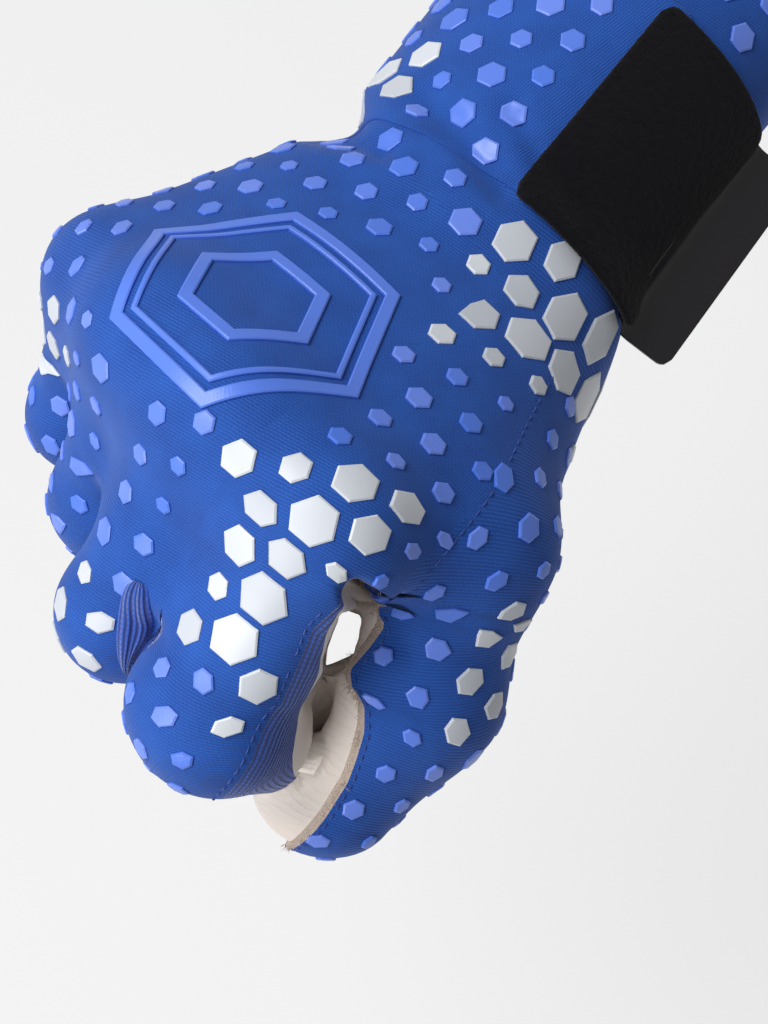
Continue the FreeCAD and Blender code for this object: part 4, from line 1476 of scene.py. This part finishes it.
# %% Stitches
def stitches(name, path, normal, material, pitch=2.4, length=1.7, thick=0.17, lift=0.08):
    """Threads along a path: at every pitch a short tube along the path's direction, whose height over
    the cloth is a low arch."""
    gap = np.linalg.norm(np.diff(path, axis=0), axis=1)
    run = np.concatenate(((0,), np.cumsum(gap)))
    at = np.arange(pitch * 0.5, run[-1] - length, pitch)
    share = np.linspace(0, 1, 5)
    place = at[:, None] + share[None] * length
    line = np.stack([np.interp(place, run, path[:, k]) for k in range(3)], -1)
    up = unit(np.stack([np.interp(place, run, normal[:, k]) for k in range(3)], -1))
    ahead = unit(line[:, -1:] - line[:, :1])
    across = unit(np.cross(ahead, up))
    arch = lift + thick * 1.4 * np.sin(np.pi * share) - thick * 0.9
    line = line + up * arch[None, :, None]
    turn = np.radians(60 * np.arange(6))
    girth = thick * np.array((0.55, 0.95, 1.0, 0.95, 0.55))
    turn = turn[None, None, :, None]
    ring = np.cos(turn) * across[:, :, None] + np.sin(turn) * up[:, :, None]
    points = line[:, :, None] + girth[None, :, None, None] * ring
    count = len(at)
    index = np.arange(30).reshape(5, 6)
    one = grid_faces(index, True, False) + [tuple(index[0][::-1].tolist()), tuple(index[-1].tolist())]
    faces = [tuple(v + 30 * k for v in f) for k in range(count) for f in one]
    uv = np.stack(np.broadcast_arrays(place[:, :, None], np.arange(6)[None, None] * 0.3), -1)
    return build(name, points.reshape(-1, 3), uv.reshape(-1, 2), material=material, faces=faces)


def grid_path(d, column, inset, rows):
    """A path on the skin beside one column of a tube's grid, inset degrees away from it."""
    points = d.route.points(d.angles[:, column:column + 1] + inset)[rows, 0]
    return points, slope(points)


def fibres(name, path, normal, material, count=420, thick=0.07):
    """Fine hairs along a path: each a bent three-sided tube that leaves the path at a random slant."""
    random = np.random.default_rng(23)
    at = random.uniform(0, 1, count)
    run = np.linspace(0, 1, len(path))
    foot = np.stack([np.interp(at, run, path[:, k]) for k in range(3)], -1)
    up = unit(np.stack([np.interp(at, run, normal[:, k]) for k in range(3)], -1))
    ahead = unit(np.stack([np.interp(at, run, np.gradient(path[:, k])) for k in range(3)], -1))
    across = unit(np.cross(ahead, up))
    foot = foot + across * random.uniform(-0.5, 0.5, (count, 1))
    way = unit(across * random.normal(0, 0.7, (count, 1)) + ahead * random.normal(0, 0.6, (count, 1)) + up)
    length = random.uniform(0.5, 1.5, (count, 1))
    share = np.linspace(0, 1, 4)[None, :, None]
    bend = random.normal(0, 0.35, (count, 3))
    line = foot[:, None] + (way[:, None] * share + bend[:, None] * share ** 2) * length[:, None]
    turn = np.radians(120 * np.arange(3))[None, None, :, None]
    girth = thick * np.array((1.0, 0.9, 0.7, 0.25))[None, :, None, None]
    side = unit(np.cross(way, up + 0.3 * ahead))
    ring = np.cos(turn) * side[:, None, None] + np.sin(turn) * np.cross(way, side)[:, None, None]
    points = line[:, :, None] + girth * ring
    index = np.arange(12).reshape(4, 3)
    one = grid_faces(index, True, False) + [tuple(index[0][::-1].tolist()), tuple(index[-1].tolist())]
    faces = [tuple(v + 12 * k for v in f) for k in range(count) for f in one]
    uv = np.zeros((count * 12, 2))
    return build(name, points.reshape(-1, 3), uv, material=material, faces=faces)


d, cut = digits["index"], halfway("index")
for far, rows in ((False, slice(int(cut * 0.86), cut + 1)), (True, slice(cut, len(d.along) - 11))):
    path, up = grid_path(d, 0, -5.0, rows)
    piece = stitches("index_%s_stitch_thumb_edge" % ("far" if far else "near"), path, up, thread)
    finger_blend(piece, "index", far)
path, up = grid_path(thumb, BACK_COLUMNS, 4.0, slice(12, None))
thumb_blend(stitches("thumb_edge_stitches", path, up, thread))
path, up = grid_path(thumb, BACK_COLUMNS, -0.6 * THUMB_EDGE, slice(10, None))
thumb_blend(fibres("thumb_cut_edge_fibres", path, up, raw_edge))
turns = np.arange(0, 361, 2.0)
path = cuff_at(-7.4, turns, 0.7)
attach(stitches("binding_stitches", path, slope(path), thread, pitch=2.8), "cuff")
flap_half = STRAP_WIDTH / 2 - 2.5
for number, x in enumerate((STRAP_MIDDLE - flap_half, STRAP_MIDDLE + flap_half)):
    path = cuff_at(x + FLAP_LEAN * (flap_turns - FLAP_FROM), flap_turns, FLAP_HIGH)
    seam = stitches("flap_stitches_%d" % number, path, slope(path), pile, pitch=2.6, thick=0.2, lift=-0.1)
    flap_blend(seam)
print("stitches done")

# %% [markdown]
# The camera looks down on the back of the hand from the fingers' side, with a long lens. The lamps are
# soft: a key high over the glove, a weaker one low beyond the fingers, and a pale room.

# %% Camera
from mathutils import Matrix, Vector

EYE = np.array((-271.25, -157.81, 406.41)) * MM
VIEW_RIGHT = (0.57765, -0.80998, -0.10124)
VIEW_UP = (0.76946, 0.49892, 0.39875)
VIEW_BACK = (-0.27247, -0.30824, 0.91145)
camera_data = bpy.data.cameras.new("camera")
camera_data.lens, camera_data.sensor_width = 77.34, 36.0
camera = bpy.data.objects.new("camera", camera_data)
bpy.context.scene.collection.objects.link(camera)
place = np.eye(4)
place[:3, :3] = np.array((VIEW_RIGHT, VIEW_UP, VIEW_BACK)).T
place[:3, 3] = EYE
camera.matrix_world = Matrix(place.tolist())
bpy.context.scene.camera = camera
print("camera", EYE.round(3).tolist())

# %% Lamps and room
ROOM = paint(244, 244, 244)
ROOM_LIGHTS, ROOM_SEEN = 0.28, 1.0  # the room's strength on the glove, and where it is looked at


def seen_directly(tree):
    """1 for rays that show the room itself: camera, mirror and see-through rays."""
    rays = tree.nodes.new("ShaderNodeLightPath")
    first = tree.nodes.new("ShaderNodeMath")
    second = tree.nodes.new("ShaderNodeMath")
    for node in (first, second):
        node.operation = "MAXIMUM"
    tree.links.new(rays.outputs["Is Camera Ray"], first.inputs[0])
    tree.links.new(rays.outputs["Is Glossy Ray"], first.inputs[1])
    tree.links.new(first.outputs[0], second.inputs[0])
    tree.links.new(rays.outputs["Is Transmission Ray"], second.inputs[1])
    return second.outputs[0]


def lamp(name, spot, target, size, power):
    """A square soft lamp that faces a target."""
    data = bpy.data.lights.new(name, "AREA")
    data.size, data.energy = size, power
    made = bpy.data.objects.new(name, data)
    bpy.context.scene.collection.objects.link(made)
    made.location = spot
    made.rotation_euler = (Vector(target) - Vector(spot)).to_track_quat("-Z", "Y").to_euler()


world = bpy.data.worlds.new("studio")
bpy.context.scene.world = world
world.use_nodes = True
tree = world.node_tree
background = tree.nodes["Background"]
background.inputs[0].default_value = ROOM
strength = tree.nodes.new("ShaderNodeMix")
strength.inputs[2].default_value, strength.inputs[3].default_value = ROOM_LIGHTS, ROOM_SEEN
tree.links.new(seen_directly(tree), strength.inputs[0])
tree.links.new(strength.outputs[0], background.inputs[1])
CENTRE = (-0.13, 0.0, 0.0)
lamp("key", (-0.28, 0.36, 0.83), CENTRE, 0.45, 7.2)
lamp("low", (-0.75, 0.12, 0.26), CENTRE, 0.4, 2.6)
bpy.context.scene.view_settings.view_transform = "Standard"
print("lamps: key and low")

# %% [markdown]
# The floor is pale and plain. Most of its brightness is its own, for the rays that look at it, so that
# it stays even; the rest is lit, which keeps a soft shadow under the glove.

# %% Floor
FLOOR_LEVEL = -0.25
HALF = 4.0
mesh = bpy.data.meshes.new("floor")
corners = [(-HALF, -HALF), (HALF, -HALF), (HALF, HALF), (-HALF, HALF)]
mesh.from_pydata([(x, y, FLOOR_LEVEL) for x, y in corners], [], [(0, 1, 2, 3)])
floor = bpy.data.objects.new("floor", mesh)
bpy.context.scene.collection.objects.link(floor)
f = Finish("floor", 0.9)
f.shader.inputs["Base Color"].default_value = paint(232, 232, 232)
glow = f.node("Emission", None, Color=ROOM, Strength=1.0)
both = f.node("MixShader")
share = f.times(seen_directly(f.tree), 0.8)
f.tree.links.new(share, both.inputs[0])
f.tree.links.new(f.shader.outputs[0], both.inputs[1])
f.tree.links.new(glow.outputs[0], both.inputs[2])
f.tree.links.new(both.outputs[0], f.tree.nodes["Material Output"].inputs["Surface"])
mesh.materials.append(f.material)
print("floor at", FLOOR_LEVEL, "m")
